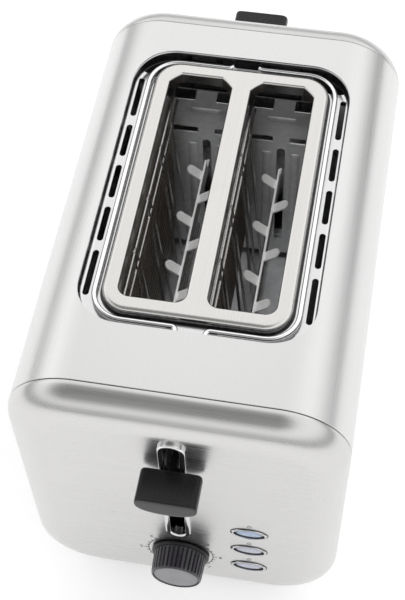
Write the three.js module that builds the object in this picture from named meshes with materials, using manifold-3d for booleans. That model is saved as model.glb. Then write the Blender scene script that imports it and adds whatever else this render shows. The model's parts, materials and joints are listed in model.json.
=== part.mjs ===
// Two-slot long-bodied pop up toaster with a fold-up bun rack.
// Millimetres. +X to the right seen from the front, +Y to the rear, +Z up, z = 0 on the table.
import * as THREE from "three";
import { mergeVertices } from "three/addons/utils/BufferGeometryUtils.js";
import Module from "manifold-3d";

const wasm = await Module();
wasm.setup();

// ---------------------------------------------------------------- driving dimensions
const GAP = 0.3; // air between two pieces that touch on the real thing
const SHEET = 0.8; // pressed steel sheet
const FAR = 400; // reach of a cutting block

const BODY = {
  halfWidth: 85,
  bottom: 7,
  top: 199,
  corner: 36, // radius of the wrap's section
  seam: 118, // the wrap meets the end caps at y = -seam and y = +seam
  capDepth: 16,
  edge: 18, // how far the cap's rounded edge reaches in over its face
  bottomGap: 52, // half width of the wrap's open underside
};
const FACE = BODY.seam + BODY.capDepth;
const SEAM_HALF_GAP = 0.25;

const OPENING = { halfWidth: 59.6, front: -83.5, rear: 96.5, corner: 23 };
const RECESS = { floor: 190.8, flange: 6, ledge: 2.8 };
const VENT = { x: 56, width: 3.3 };
const VENT_SPANS = [
  [-65.2, -37.6],
  [-31.6, -9.6],
  [-3.6, 18.4],
  [24.6, 46.6],
  [53, 80.6],
];
const PLATE = { halfWidth: 47.85, front: -74.2, rear: 91.3, corner: 14, top: 196 };
const SLOT = { x: 22.5, halfWidth: 17.15, front: -65.2, rear: 82.8, corner: 6, lip: 7 };

const CHAMBER = { front: -77, rear: 96, halfWidth: 62, bottom: 20, top: 169, reflector: 52 };
const BOARD = { x: 46, thickness: 0.8, bottom: 38, top: 165 };
const RIBBON = { runs: 8, pitch: 14, width: 1.6, thickness: 0.3, bottom: 48, margin: 9 };

const GUIDE = { bottom: 40, top: 176, footOffset: 8.5, topOffset: 17.4, wire: 0.9, rail: 1.1, stay: 164 };
const GUIDE_PITCH = 17.6;
const GUIDE_COUNT = 8;
const FIRST_GUIDE_WIRE = -51.8;

const LEVER = { z: 150, halfHeight: 4, halfThickness: 1.5, down: 62, up: 21.5 };
const LEVER_SLOT = { halfWidth: 3.9, bottom: 76.5, top: 177.5 };
const BEAD = { width: 3, proud: 2.2, sleeve: 1.1, depth: 3 };
const KNOB = { halfWidth: 15.5, halfHeight: 6.8, front: 155, back: 136.6, socket: 13 };
const CARRIER = { offset: -1.5, bottom: 98, top: 112, endTop: 103, thickness: 1.5 };
const CARRIER_TAB = { width: 6.5, first: -43, pitch: 35.2, thickness: 1.2, tip: 118, reach: 9.3 };
const ROD = { y: -98, radius: 2.5, bottom: 19.8, top: 171 };
const SPRING = { x: -10, y: -97, radius: 3.2, wire: 0.55, turns: 12, bottom: 125, top: 167.6 };
const MAGNET = { x: 24, front: -104, rear: -92, bottom: 32, top: 53.6 };

const DIAL = { z: 49, collar: 16, base: 14.5, face: 13.9, front: 149.5, flutes: 36 };
const BUTTON = { x: 38, top: 88, pitch: 21.8, travel: 1.5 };
const BUTTON_NAMES = ["stop", "reheat", "defrost"];
const PCB = { front: -113.6, back: -112, left: -22, right: 66, bottom: 30, step: 68, top: 100 };

const RACK = { pivotX: 7.5, z: 193.4, wire: 1.4, sideX: 51.3, front: -78.2, corner: 16 };
const RACK_REAR = { left: 92.9, right: 94.6 };
const CRANK = { y: 101.7, arm: 20, restAngle: -8, sweep: 50, travel: 15, pinEnd: 107.6 };
const CAM = { front: 104.5, back: 106, halfWidth: 27.4, bottom: 166, top: 197, clearance: 0.35 };
const RACK_LEVER = { z: 170, slotBottom: 149.5, slotTop: 175.3 };

const TRAY = { halfWidth: 54, front: -109.5, rear: 118.3, bottom: 9.2, top: 15.2 };
const NOTCH = { halfWidth: 55.4, top: 19.2 };
const BASE = { halfWidth: 70, halfLength: 122, corner: 30, bottom: 2.6, top: 22 };
const FOOT = { x: 52, y: 100, radius: 8, top: 2.4 };
const GLAND = { x: -54, z: 34, flange: 8, body: 5.2, bore: 3.6 };

// ---------------------------------------------------------------- shape helpers
const degrees = THREE.MathUtils.degToRad;
const range = (count) => Array.from({ length: count }, (_, i) => i);

/** A closed three.js geometry as a manifold-3d solid. */
function solid(geometry) {
  const bare = geometry.index ? geometry.toNonIndexed() : geometry.clone();
  bare.deleteAttribute("normal");
  bare.deleteAttribute("uv");
  const merged = mergeVertices(bare, 1e-3);
  return new wasm.Manifold(
    new wasm.Mesh({
      numProp: 3,
      vertProperties: new Float32Array(merged.attributes.position.array),
      triVerts: new Uint32Array(merged.index.array),
    }),
  );
}

/** A manifold-3d solid as a three.js geometry. */
function geometryOf(made) {
  const mesh = made.getMesh();
  const geometry = new THREE.BufferGeometry();
  const positions = new Float32Array(mesh.vertProperties);
  geometry.setAttribute("position", new THREE.BufferAttribute(positions, 3));
  geometry.setIndex(new THREE.BufferAttribute(new Uint32Array(mesh.triVerts), 1));
  geometry.computeVertexNormals();
  return geometry;
}

const join = (...solids) => solids.reduce((all, one) => all.add(one));
const cut = (from, ...tools) => tools.reduce((left, tool) => left.subtract(tool), from);

function block(x0, x1, y0, y1, z0, z1) {
  const geometry = new THREE.BoxGeometry(x1 - x0, y1 - y0, z1 - z0);
  return solid(geometry.translate((x0 + x1) / 2, (y0 + y1) / 2, (z0 + z1) / 2));
}

/** A block centred on x = 0. */
const middleBlock = (half, y0, y1, z0, z1) => block(-half, half, y0, y1, z0, z1);

function extruded(shape, depth, segments) {
  return new THREE.ExtrudeGeometry(shape, { depth, curveSegments: segments, bevelEnabled: false });
}

/** An XY outline raised from z0 to z1. */
function raised(shape, z0, z1, segments = 4) {
  return solid(extruded(shape, z1 - z0, segments).translate(0, 0, z0));
}

/** An XZ outline carried from y0 to y1. */
function carried(shape, y0, y1, segments = 4) {
  return solid(extruded(shape, y1 - y0, segments).rotateX(Math.PI / 2).translate(0, y1, 0));
}

/** A YZ outline carried from x0 to x1. */
function carriedAcross(shape, x0, x1, segments = 4) {
  const turn = new THREE.Matrix4().makeBasis(
    new THREE.Vector3(0, 1, 0),
    new THREE.Vector3(0, 0, 1),
    new THREE.Vector3(1, 0, 0),
  );
  return solid(extruded(shape, x1 - x0, segments).applyMatrix4(turn).translate(x0, 0, 0));
}

/** A rectangle with round corners, from (u0, v0) to (u1, v1). */
function roundedRect(u0, u1, v0, v1, radius) {
  const shape = new THREE.Shape();
  shape.absarc(u1 - radius, v0 + radius, radius, -Math.PI / 2, 0);
  shape.absarc(u1 - radius, v1 - radius, radius, 0, Math.PI / 2);
  shape.absarc(u0 + radius, v1 - radius, radius, Math.PI / 2, Math.PI);
  shape.absarc(u0 + radius, v0 + radius, radius, Math.PI, 1.5 * Math.PI);
  shape.closePath();
  return shape;
}

/** A slot with half-round ends, tall or wide. */
function stadium(u0, u1, v0, v1) {
  const radius = Math.min(u1 - u0, v1 - v0) / 2;
  return roundedRect(u0, u1, v0, v1, radius - 0.001);
}

function ellipse(u, v, halfWidth, halfHeight) {
  return new THREE.Shape().absellipse(u, v, halfWidth, halfHeight, 0, 2 * Math.PI);
}

/** The outline of an opening described by a half width and its front and rear ends, grown by some amount. */
function outline({ halfWidth, front, rear, corner }, grow = 0, x = 0) {
  return roundedRect(
    x - halfWidth - grow,
    x + halfWidth + grow,
    front - grow,
    rear + grow,
    corner + grow,
  );
}

/** A round bar from y0 to y1 at (x, z). */
function barAlong(x, z, radius, y0, y1, sides = 12) {
  const geometry = new THREE.CylinderGeometry(radius, radius, y1 - y0, sides);
  return solid(geometry.translate(x, (y0 + y1) / 2, z));
}

/** An upright round bar at (x, y). */
function upright(x, y, radius, z0, z1, sides = 16) {
  const geometry = new THREE.CylinderGeometry(radius, radius, z1 - z0, sides);
  return solid(geometry.rotateX(Math.PI / 2).translate(x, y, (z0 + z1) / 2));
}

/** A route through given stations, sampled at each of them, so that a bent wire keeps its corners. */
class Route extends THREE.Curve {
  constructor(stations) {
    super();
    this.stations = stations;
  }

  getPointAt(u, target = new THREE.Vector3()) {
    const along = u * (this.stations.length - 1);
    const i = Math.min(Math.floor(along + 1e-6), this.stations.length - 2);
    return target.lerpVectors(this.stations[i], this.stations[i + 1], along - i);
  }

  getTangentAt(u, target = new THREE.Vector3()) {
    const last = this.stations.length - 1;
    const i = Math.round(u * last);
    const before = this.stations[Math.max(i - 1, 0)];
    const here = this.stations[i];
    const after = this.stations[Math.min(i + 1, last)];
    const incoming = new THREE.Vector3().subVectors(here, before).normalize();
    const outgoing = new THREE.Vector3().subVectors(after, here).normalize();
    return target.addVectors(incoming, outgoing).normalize();
  }
}

/** Replaces each inner corner of a route with an arc of that corner's radius. */
function rounded(corners, radii, steps) {
  const stations = [corners[0]];
  for (let i = 1; i < corners.length - 1; i += 1) {
    const incoming = new THREE.Vector3().subVectors(corners[i - 1], corners[i]).normalize();
    const outgoing = new THREE.Vector3().subVectors(corners[i + 1], corners[i]).normalize();
    const half = incoming.angleTo(outgoing) / 2;
    const inward = new THREE.Vector3().addVectors(incoming, outgoing).normalize();
    const centre = corners[i].clone().addScaledVector(inward, radii[i - 1] / Math.sin(half));
    const start = corners[i].clone().addScaledVector(incoming, radii[i - 1] / Math.tan(half));
    const spoke = start.clone().sub(centre);
    const axis = new THREE.Vector3().crossVectors(outgoing, incoming).normalize();
    const turn = Math.PI - 2 * half;
    for (const step of range(steps + 1)) {
      const arm = spoke.clone().applyAxisAngle(axis, (turn * step) / steps);
      stations.push(centre.clone().add(arm));
    }
  }
  stations.push(corners[corners.length - 1]);
  return stations;
}

/** A round wire along a route of stations. */
function wire(stations, radius, sides = 8) {
  const section = new THREE.Shape();
  section.absarc(0, 0, radius, 0, 2 * Math.PI);
  const geometry = new THREE.ExtrudeGeometry(section, {
    steps: stations.length - 1,
    curveSegments: sides / 2,
    extrudePath: new Route(stations),
  });
  return solid(geometry);
}

const point = (x, y, z) => new THREE.Vector3(x, y, z);

// ---------------------------------------------------------------- materials
function finish(color, roughness, metalness) {
  return new THREE.MeshStandardMaterial({ color, roughness, metalness });
}

const BRUSHED = finish(0xd9d9d6, 0.32, 1);
const CHROME = finish(0xe8e8ea, 0.08, 1);
const GALVANISED = finish(0x8f9293, 0.42, 1);
const STEEL = finish(0xa8a9aa, 0.35, 1);
const BLACK_PLASTIC = finish(0x161616, 0.38, 0);
const CHARCOAL_PLASTIC = finish(0x3a393c, 0.45, 0);
const GREY_PLASTIC = finish(0x8b8c8e, 0.35, 0);
const LENS = finish(0xc9d4ee, 0.2, 0);
const MICA = finish(0x9a8f7c, 0.6, 0);
const NICHROME = finish(0x6a625c, 0.45, 1);
const RUBBER = finish(0x1c1c1c, 0.85, 0);
const CIRCUIT_BOARD = finish(0x2f5a3a, 0.5, 0);
const COPPER = finish(0xa5572c, 0.4, 1);

const toaster = new THREE.Group();

function place(name, made, material) {
  const mesh = new THREE.Mesh(geometryOf(made), material);
  mesh.name = name;
  toaster.add(mesh);
}

// ---------------------------------------------------------------- outer shell
/** The whole body's outer form, set in by some amount. Its ends are rounded over like pressed caps. */
function bodyForm(inset) {
  const { halfWidth, bottom, top, corner, seam, capDepth, edge } = BODY;
  const section = roundedRect(
    inset - halfWidth,
    halfWidth - inset,
    bottom + inset,
    top - inset,
    corner - inset,
  );
  const geometry = new THREE.ExtrudeGeometry(section, {
    depth: 2 * seam,
    curveSegments: 5,
    bevelThickness: capDepth - inset,
    bevelSize: edge - inset,
    bevelOffset: inset - edge,
    bevelSegments: 5,
  });
  return solid(geometry.rotateX(Math.PI / 2).translate(0, seam, 0));
}

/** A slab of everything from y0 to y1. */
const slab = (y0, y1) => block(-FAR, FAR, y0, y1, -FAR, FAR);

const skin = bodyForm(0).subtract(bodyForm(SHEET));

function wrapShell() {
  const length = BODY.seam - SEAM_HALF_GAP;
  return cut(
    skin.intersect(slab(-length, length)),
    raised(outline(OPENING), RECESS.floor, FAR, 5),
    middleBlock(BODY.bottomGap, -FAR, FAR, 0, BASE.top),
  );
}

/** The joggled lip that a cap slides under the wrap. */
function capLip() {
  const outer = SHEET + GAP;
  const inner = bodyForm(outer + SHEET);
  const lip = bodyForm(outer).subtract(inner).intersect(slab(-BODY.seam - 5, -BODY.seam + 7));
  const joggle = bodyForm(SHEET / 2).subtract(inner).intersect(slab(-BODY.seam - 5, -BODY.seam - 2));
  return lip.add(joggle);
}

/** A front end cap with no holes. */
function blankCap() {
  return skin.intersect(slab(-FAR, -BODY.seam - SEAM_HALF_GAP)).add(capLip());
}

/** A solid seen in a mirror across the plane y = 0. */
const mirroredRear = (made) => made.mirror([0, 1, 0]);

function bezelHole(bottom, top) {
  const half = LEVER_SLOT.halfWidth + BEAD.sleeve + GAP;
  const grow = BEAD.sleeve + GAP;
  return carried(stadium(-half, half, bottom - grow, top + grow), -FAR, BODY.capDepth - FACE, 5);
}

const buttonHeight = (i) => BUTTON.top - i * BUTTON.pitch;

function frontEndCap() {
  const faceToInside = BODY.capDepth - FACE;
  const buttons = range(BUTTON_NAMES.length).map((i) =>
    carried(ellipse(BUTTON.x, buttonHeight(i), 9.3, 5.6), -FAR, faceToInside, 8),
  );
  return cut(
    blankCap(),
    bezelHole(LEVER_SLOT.bottom, LEVER_SLOT.top),
    barAlong(0, DIAL.z, 4, -FAR, faceToInside, 16),
    ...buttons,
  );
}

function rearEndCap() {
  return cut(
    mirroredRear(blankCap()),
    mirroredRear(bezelHole(RACK_LEVER.slotBottom, RACK_LEVER.slotTop)),
    barAlong(GLAND.x, GLAND.z, GLAND.body + GAP, FACE - BODY.capDepth, FAR, 16),
    middleBlock(NOTCH.halfWidth, TRAY.rear - 10, FAR, 0, NOTCH.top),
  );
}

function basePan() {
  const { halfWidth, halfLength, corner, bottom, top } = BASE;
  const tub = raised(roundedRect(-halfWidth, halfWidth, -halfLength, halfLength, corner), bottom, top);
  return tub.subtract(bodyForm(-GAP));
}

function foot(sideX, sideY) {
  const { x, y, radius, top } = FOOT;
  const profile = [
    new THREE.Vector2(0, 0),
    new THREE.Vector2(radius - 0.8, 0),
    new THREE.Vector2(radius, 0.8),
    new THREE.Vector2(radius, top),
    new THREE.Vector2(0, top),
  ];
  const geometry = new THREE.LatheGeometry(profile, 20).rotateX(Math.PI / 2);
  return solid(geometry.translate(sideX * x, sideY * y, 0));
}

place("wrap_shell", wrapShell(), BRUSHED);
place("front_end_cap", frontEndCap(), BRUSHED);
place("rear_end_cap", rearEndCap(), BRUSHED);
place("base_pan", basePan(), BLACK_PLASTIC);
for (const [sideY, end] of [[-1, "front"], [1, "rear"]]) {
  for (const [sideX, side] of [[-1, "left"], [1, "right"]]) {
    place(`foot_${end}_${side}`, foot(sideX, sideY), RUBBER);
  }
}

// ---------------------------------------------------------------- top: recess, vents and slot plate
/** The recess: a pan whose flange follows the wrap's underside, with vents and a hole under the plate. */
function topRecessPan() {
  const under = RECESS.floor - SHEET;
  const form = bodyForm(SHEET + GAP);
  const vents = VENT_SPANS.flatMap(([front, rear]) =>
    [-VENT.x, VENT.x].map((x) =>
      raised(stadium(x - VENT.width / 2, x + VENT.width / 2, front, rear), under - 1, RECESS.floor + 1),
    ),
  );
  const flange = form
    .subtract(bodyForm(2 * SHEET + GAP))
    .intersect(raised(outline(OPENING, RECESS.flange), under, FAR));
  const wireWindow = middleBlock(13, OPENING.front - 2, OPENING.rear + 2, 191.2, 196.2);
  return cut(
    form.intersect(raised(outline(OPENING, SHEET), under, FAR)).add(flange),
    raised(outline(OPENING), RECESS.floor, FAR),
    raised(outline(PLATE, -RECESS.ledge), 0, FAR),
    wireWindow,
    ...vents,
  );
}

function slotPlate() {
  const sheetUnder = PLATE.top - SHEET;
  const skirt = raised(outline(PLATE), RECESS.floor + GAP, PLATE.top).subtract(
    raised(outline(PLATE, -SHEET), 0, sheetUnder),
  );
  const lips = [-SLOT.x, SLOT.x].map((x) =>
    raised(outline(SLOT, SHEET, x), PLATE.top - SLOT.lip, PLATE.top - SHEET / 2),
  );
  const slots = [-SLOT.x, SLOT.x].map((x) => raised(outline(SLOT, 0, x), 0, FAR));
  return cut(join(skirt, ...lips), ...slots);
}

place("top_recess_pan", topRecessPan(), BRUSHED);
place("slot_plate", slotPlate(), BRUSHED);

// ---------------------------------------------------------------- heating chamber
const leverUnderside = CARRIER.bottom - LEVER.down;

/** One end wall of the toasting chamber, standing at y0 to y1, with its fold turned towards the slots. */
function chamberWall(y0, y1, foldFrom, foldTo) {
  const { halfWidth, bottom, top } = CHAMBER;
  const wall = middleBlock(halfWidth, y0, y1, bottom, top);
  const legs = [-1, 1].map((side) => {
    const edges = [side * 56, side * halfWidth].sort((a, b) => a - b);
    return block(edges[0], edges[1], y0, y1, 10.8, bottom + 1);
  });
  const fold = middleBlock(CHAMBER.reflector - 1, foldFrom, foldTo, top - SHEET, top);
  const carrierHoles = [-SLOT.x, SLOT.x].flatMap((slotX) => {
    const x = slotX + CARRIER.offset;
    return [
      block(x - 2.5, x + 2.5, -FAR, FAR, leverUnderside - 1.5, CARRIER.endTop + LEVER.up + 1.5),
      block(x - 20, x - 5, -FAR, FAR, 131.5, 136.5),
      block(x + 5, x + 20, -FAR, FAR, 131.5, 136.5),
    ];
  });
  const guideHoles = [-SLOT.x, SLOT.x].flatMap((x) => [
    block(x - 6, x + 6, -FAR, FAR, top - SHEET - 1, FAR),
    barAlong(x - GUIDE.footOffset, GUIDE.bottom, 1.6, -FAR, FAR, 10),
    barAlong(x + GUIDE.footOffset, GUIDE.bottom, 1.6, -FAR, FAR, 10),
  ]);
  return { plain: join(wall, fold, ...legs), holes: [...carrierHoles, ...guideHoles] };
}

function chassisRearPlate() {
  const { plain, holes } = chamberWall(
    CHAMBER.rear,
    CHAMBER.rear + SHEET,
    CHAMBER.rear - 8,
    CHAMBER.rear + SHEET,
  );
  return cut(plain, ...holes);
}

/** The front wall also carries the two shelves that hold the carriage's guide rod. */
function chassisFrontPlate() {
  const { front, bottom, top } = CHAMBER;
  const { plain, holes } = chamberWall(front - SHEET, front, front - SHEET, front + 8);
  const shelves = [bottom, top - SHEET].map((z) => middleBlock(14, -104, front, z, z + SHEET));
  const rodHole = upright(0, ROD.y, ROD.radius + GAP, 0, FAR);
  return cut(join(cut(plain, ...holes), ...shelves), rodHole);
}

function reflector(side) {
  const x = side * CHAMBER.reflector;
  const edges = [x, x + side * SHEET].sort((a, b) => a - b);
  return block(edges[0], edges[1], CHAMBER.front + GAP, CHAMBER.rear - GAP, 24, CHAMBER.top - 2);
}

function elementBoard(x) {
  const half = BOARD.thickness / 2;
  return block(x - half, x + half, CHAMBER.front + GAP, CHAMBER.rear - GAP, BOARD.bottom, BOARD.top);
}

/** A flat ribbon that runs to and fro up one face of an element board. side is the face it lies on. */
function elementRibbon(x, side) {
  const near = CHAMBER.front + RIBBON.margin;
  const far = CHAMBER.rear - RIBBON.margin;
  const lines = range(RIBBON.runs).map((i) => RIBBON.bottom + i * RIBBON.pitch);
  const half = RIBBON.width / 2;
  const face = x + side * (BOARD.thickness / 2 + 0.15);
  const edges = [face, face + side * RIBBON.thickness].sort((a, b) => a - b);
  const runs = lines.map((z) => block(edges[0], edges[1], near, far, z - half, z + half));
  const links = lines.slice(1).map((z, i) => {
    const y = i % 2 ? near : far - RIBBON.width;
    return block(edges[0], edges[1], y, y + RIBBON.width, z - RIBBON.pitch, z);
  });
  return join(...runs, ...links);
}

/** A bread guide: a leaning grille of wires that pivots on its bottom rail. */
function breadGuide(x, side) {
  const foot = x + side * GUIDE.footOffset;
  const head = x + side * GUIDE.topOffset;
  const bottomRail = barAlong(foot, GUIDE.bottom, GUIDE.rail, CHAMBER.front - 2.5, CHAMBER.rear + 2.5, 8);
  const topRail = barAlong(head, GUIDE.top, GUIDE.rail, CHAMBER.front + 5, CHAMBER.rear - 5, 8);
  const rise = (GUIDE.stay - GUIDE.bottom) / (GUIDE.top - GUIDE.bottom);
  const stayX = foot + (head - foot) * rise;
  const stay = barAlong(stayX, GUIDE.stay, GUIDE.wire, CHAMBER.front + 5, CHAMBER.rear - 5, 8);
  const bars = range(GUIDE_COUNT).map((i) => {
    const y = FIRST_GUIDE_WIRE + i * GUIDE_PITCH;
    return wire([point(foot, y, GUIDE.bottom), point(head, y, GUIDE.top)], GUIDE.wire, 6);
  });
  return join(bottomRail, topRail, stay, ...bars);
}

place("chassis_front_plate", chassisFrontPlate(), GALVANISED);
place("chassis_rear_plate", chassisRearPlate(), GALVANISED);
place("reflector_left", reflector(-1), GALVANISED);
place("reflector_right", reflector(1), GALVANISED);
place("element_board_left", elementBoard(-BOARD.x), MICA);
place("element_board_centre", elementBoard(0), MICA);
place("element_board_right", elementBoard(BOARD.x), MICA);
place("element_ribbon_left", elementRibbon(-BOARD.x, 1), NICHROME);
place("element_ribbon_centre_left", elementRibbon(0, -1), NICHROME);
place("element_ribbon_centre_right", elementRibbon(0, 1), NICHROME);
place("element_ribbon_right", elementRibbon(BOARD.x, -1), NICHROME);
place("bread_guide_left_outer", breadGuide(-SLOT.x, -1), STEEL);
place("bread_guide_left_inner", breadGuide(-SLOT.x, 1), STEEL);
place("bread_guide_right_inner", breadGuide(SLOT.x, -1), STEEL);
place("bread_guide_right_outer", breadGuide(SLOT.x, 1), STEEL);

// ---------------------------------------------------------------- carriage and lever
/** A rail on edge with tabs bent out left and right in turn, which the bread stands on. */
function breadCarrier(x) {
  const half = CARRIER.thickness / 2;
  const { bottom, top, endTop } = CARRIER;
  const { tip, reach, thickness, width } = CARRIER_TAB;
  const rail = block(x - half, x + half, CHAMBER.front + 4, CHAMBER.rear - 4, bottom, top);
  const ends = block(x - half, x + half, -87, CHAMBER.rear + 4, bottom, endTop);
  const tabs = [-1, 1].flatMap((side) =>
    range(side < 0 ? 5 : 4).map((i) => {
      const y = CARRIER_TAB.first + (i - (side < 0 ? 0.5 : 0)) * CARRIER_TAB.pitch;
      const profile = new THREE.Shape([
        new THREE.Vector2(x, top - 3),
        new THREE.Vector2(x + side * reach, tip - thickness),
        new THREE.Vector2(x + side * reach, tip),
        new THREE.Vector2(x, top - 3 + 1.6 * thickness),
      ]);
      return carried(profile, y - width / 2, y + width / 2);
    }),
  );
  return join(rail, ends, ...tabs);
}

/** The block that runs on the guide rod, with a plate for the carriers and a web for the lever arm. */
function carriageBracket() {
  const plate = middleBlock(27, -89, -87.4, 94, 116);
  const neck = middleBlock(5, -95, -88, 96, 116);
  const sleeve = upright(0, ROD.y, 5.5, 96, 124);
  const springEar = block(SPRING.x - 4, 0, SPRING.y - 4, SPRING.y + 4, 122.5, 124);
  const bridge = middleBlock(3, -105, -102.5, 100, 120);
  const web = middleBlock(5, -106.2, -104.6, 96, LEVER.z + 5);
  const rodHole = upright(0, ROD.y, ROD.radius + GAP, 0, FAR);
  return cut(join(plate, neck, sleeve, springEar, bridge, web), rodHole);
}

function leverArm() {
  const { z, halfHeight, halfThickness } = LEVER;
  const tip = -KNOB.back - KNOB.socket + GAP;
  const blade = middleBlock(halfThickness, tip, -107, z - halfHeight, z + halfHeight);
  const footPlate = middleBlock(5, -108, -106.5, z - 8, z + 6);
  return blade.add(footPlate);
}

/** The outline of a lever knob: flat on top, full round ends, and a gently bowed underside. */
function knobOutline(z) {
  const { halfWidth, halfHeight } = KNOB;
  const shape = new THREE.Shape();
  shape.moveTo(4 - halfWidth, z + halfHeight);
  shape.lineTo(halfWidth - 4, z + halfHeight);
  shape.quadraticCurveTo(halfWidth, z + halfHeight, halfWidth, z + 1.5);
  shape.bezierCurveTo(halfWidth, z - 4.5, 8, z - halfHeight, 0, z - halfHeight);
  shape.bezierCurveTo(-8, z - halfHeight, -halfWidth, z - 4.5, -halfWidth, z + 1.5);
  shape.quadraticCurveTo(-halfWidth, z + halfHeight, 4 - halfWidth, z + halfHeight);
  return shape;
}

/** A lever knob for the front, with the socket that takes the arm's blade. */
function leverKnob(z) {
  const softened = 1;
  const geometry = new THREE.ExtrudeGeometry(knobOutline(z), {
    depth: KNOB.front - KNOB.back - 2 * softened,
    curveSegments: 4,
    bevelThickness: softened,
    bevelSize: softened,
    bevelOffset: -softened,
    bevelSegments: 2,
  });
  const knob = solid(geometry.rotateX(Math.PI / 2).translate(0, -KNOB.back - softened, 0));
  const { halfHeight, halfThickness } = LEVER;
  const socket = middleBlock(
    halfThickness + GAP,
    -KNOB.back - KNOB.socket,
    0,
    z - halfHeight - GAP,
    z + halfHeight + GAP,
  );
  return cut(knob, socket);
}

/** The chrome bead round a lever slot, with the sleeve that lines the hole in the cap. */
function slotBezel(bottom, top) {
  const rim = (grow) =>
    stadium(
      -LEVER_SLOT.halfWidth - grow,
      LEVER_SLOT.halfWidth + grow,
      bottom - grow,
      top + grow,
    );
  const bead = carried(rim(BEAD.width), -FACE - BEAD.proud, -FACE - 0.2, 5);
  const sleeve = carried(rim(BEAD.sleeve), -FACE - 1, BEAD.depth - FACE, 5);
  return cut(bead.add(sleeve), carried(rim(0), -FAR, 0, 5));
}

function liftSpring() {
  const { x, y, radius, wire: wireRadius, turns, bottom, top } = SPRING;
  const perTurn = 8;
  const stations = range(turns * perTurn + 1).map((i) => {
    const angle = (2 * Math.PI * i) / perTurn;
    const height = bottom + ((top - bottom) * i) / (turns * perTurn);
    return point(x + radius * Math.cos(angle), y + radius * Math.sin(angle), height);
  });
  return wire(stations, wireRadius, 6);
}

function magnetCore() {
  const { x, front, rear, bottom, top } = MAGNET;
  const yoke = block(x - 7, x + 7, front, rear, bottom, bottom + 4);
  const legs = [[-7, -4.5], [-2, 2], [4.5, 7]].map(([from, to]) =>
    block(x + from, x + to, front, rear, bottom + 3, top),
  );
  return join(yoke, ...legs);
}

function magnetCoil() {
  const { x, front, rear, bottom } = MAGNET;
  const winding = block(x - 4, x + 4, front - 2, rear + 2, bottom + 5, bottom + 18);
  return winding.subtract(block(x - 2.3, x + 2.3, front - GAP, rear + GAP, 0, FAR));
}

function armaturePlate() {
  return block(MAGNET.x - 7.5, MAGNET.x + 7.5, MAGNET.front, -89.3, 116, 118);
}

place("bread_carrier_left", breadCarrier(CARRIER.offset - SLOT.x), STEEL);
place("bread_carrier_right", breadCarrier(CARRIER.offset + SLOT.x), STEEL);
place("carriage_bracket", carriageBracket(), GALVANISED);
place("carriage_guide_rod", upright(0, ROD.y, ROD.radius, ROD.bottom, ROD.top), STEEL);
place("lift_spring", liftSpring(), STEEL);
place("lever_arm", leverArm(), BLACK_PLASTIC);
place("lever_knob", leverKnob(LEVER.z), BLACK_PLASTIC);
place("lever_slot_bezel", slotBezel(LEVER_SLOT.bottom, LEVER_SLOT.top), CHROME);
place("armature_plate", armaturePlate(), STEEL);
place("electromagnet_core", magnetCore(), STEEL);
place("electromagnet_coil", magnetCoil(), COPPER);

// ---------------------------------------------------------------- controls on the front
function browningKnob() {
  const { z, collar, base, face, front, flutes } = DIAL;
  const depths = { collarBack: FACE + 0.6, collarFront: FACE + 2.4, face: front };
  const disc = barAlong(0, z, collar, -depths.collarFront, -depths.collarBack, 32);
  const grip = new THREE.CylinderGeometry(base, face, depths.face - depths.collarFront + 1, 2 * flutes);
  const position = grip.getAttribute("position");
  for (const i of range(position.count)) {
    const angle = Math.atan2(position.getX(i), position.getZ(i));
    const inGroove = Math.round((angle / Math.PI) * flutes) % 2 !== 0;
    const scale = inGroove ? 0.955 : 1;
    position.setX(i, position.getX(i) * scale);
    position.setZ(i, position.getZ(i) * scale);
  }
  const middle = -(depths.face + depths.collarFront - 1) / 2;
  const ribbed = solid(grip.translate(0, middle, z));
  return cut(
    disc.add(ribbed),
    barAlong(0, z, 12.7, -FAR, 1.3 - front, 32),
    barAlong(0, z, 3 + GAP, 3.5 - front, 0, 12),
  );
}

/** A pot's turned brass shaft, from its bush to the knob. */
const browningShaft = () => barAlong(0, DIAL.z, 3, 4 - DIAL.front, -120.3, 12);

function browningPotentiometer() {
  return middleBlock(8.5, -120, PCB.front - GAP, DIAL.z - 8.5, DIAL.z + 8.5);
}

function controlButton(i) {
  const z = buttonHeight(i);
  const cap = carried(ellipse(BUTTON.x, z, 7.6, 4), -FACE - 1.6, 10 - FACE, 8);
  const stem = block(BUTTON.x - 2, BUTTON.x + 2, 9 - FACE, -119.6, z - 2, z + 2);
  return cap.add(stem);
}

function buttonBezel(i) {
  const z = buttonHeight(i);
  const flange = carried(ellipse(BUTTON.x, z, 10.2, 6.2), -FACE - 1.2, -FACE - 0.2, 8);
  const sleeve = carried(ellipse(BUTTON.x, z, 9, 5.3), -FACE - 1, 4 - FACE, 8);
  return cut(flange.add(sleeve), carried(ellipse(BUTTON.x, z, 8.2, 4.6), -FAR, 0, 8));
}

function buttonSwitch(i) {
  const z = buttonHeight(i);
  return block(BUTTON.x - 3, BUTTON.x + 3, -117.8, PCB.front - GAP, z - 3, z + 3);
}

/** The control board: wide below, and stepped clear of the lever's path above. */
function controlBoard() {
  const { left, right, bottom, step, top, front, back } = PCB;
  const corners = [
    [left, bottom],
    [right, bottom],
    [right, top],
    [BUTTON.x - 20, top],
    [BUTTON.x - 20, step],
    [left, step],
  ];
  return carried(new THREE.Shape(corners.map(([x, z]) => new THREE.Vector2(x, z))), front, back);
}

place("browning_knob", browningKnob(), CHARCOAL_PLASTIC);
place("browning_knob_cap", barAlong(0, DIAL.z, 12.4, -DIAL.front, 1 - DIAL.front, 32), GREY_PLASTIC);
place("browning_shaft", browningShaft(), STEEL);
place("browning_potentiometer", browningPotentiometer(), BLACK_PLASTIC);
place("control_board", controlBoard(), CIRCUIT_BOARD);
BUTTON_NAMES.forEach((name, i) => {
  place(`${name}_button`, controlButton(i), LENS);
  place(`${name}_button_bezel`, buttonBezel(i), CHROME);
  place(`${name}_button_switch`, buttonSwitch(i), BLACK_PLASTIC);
});

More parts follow.
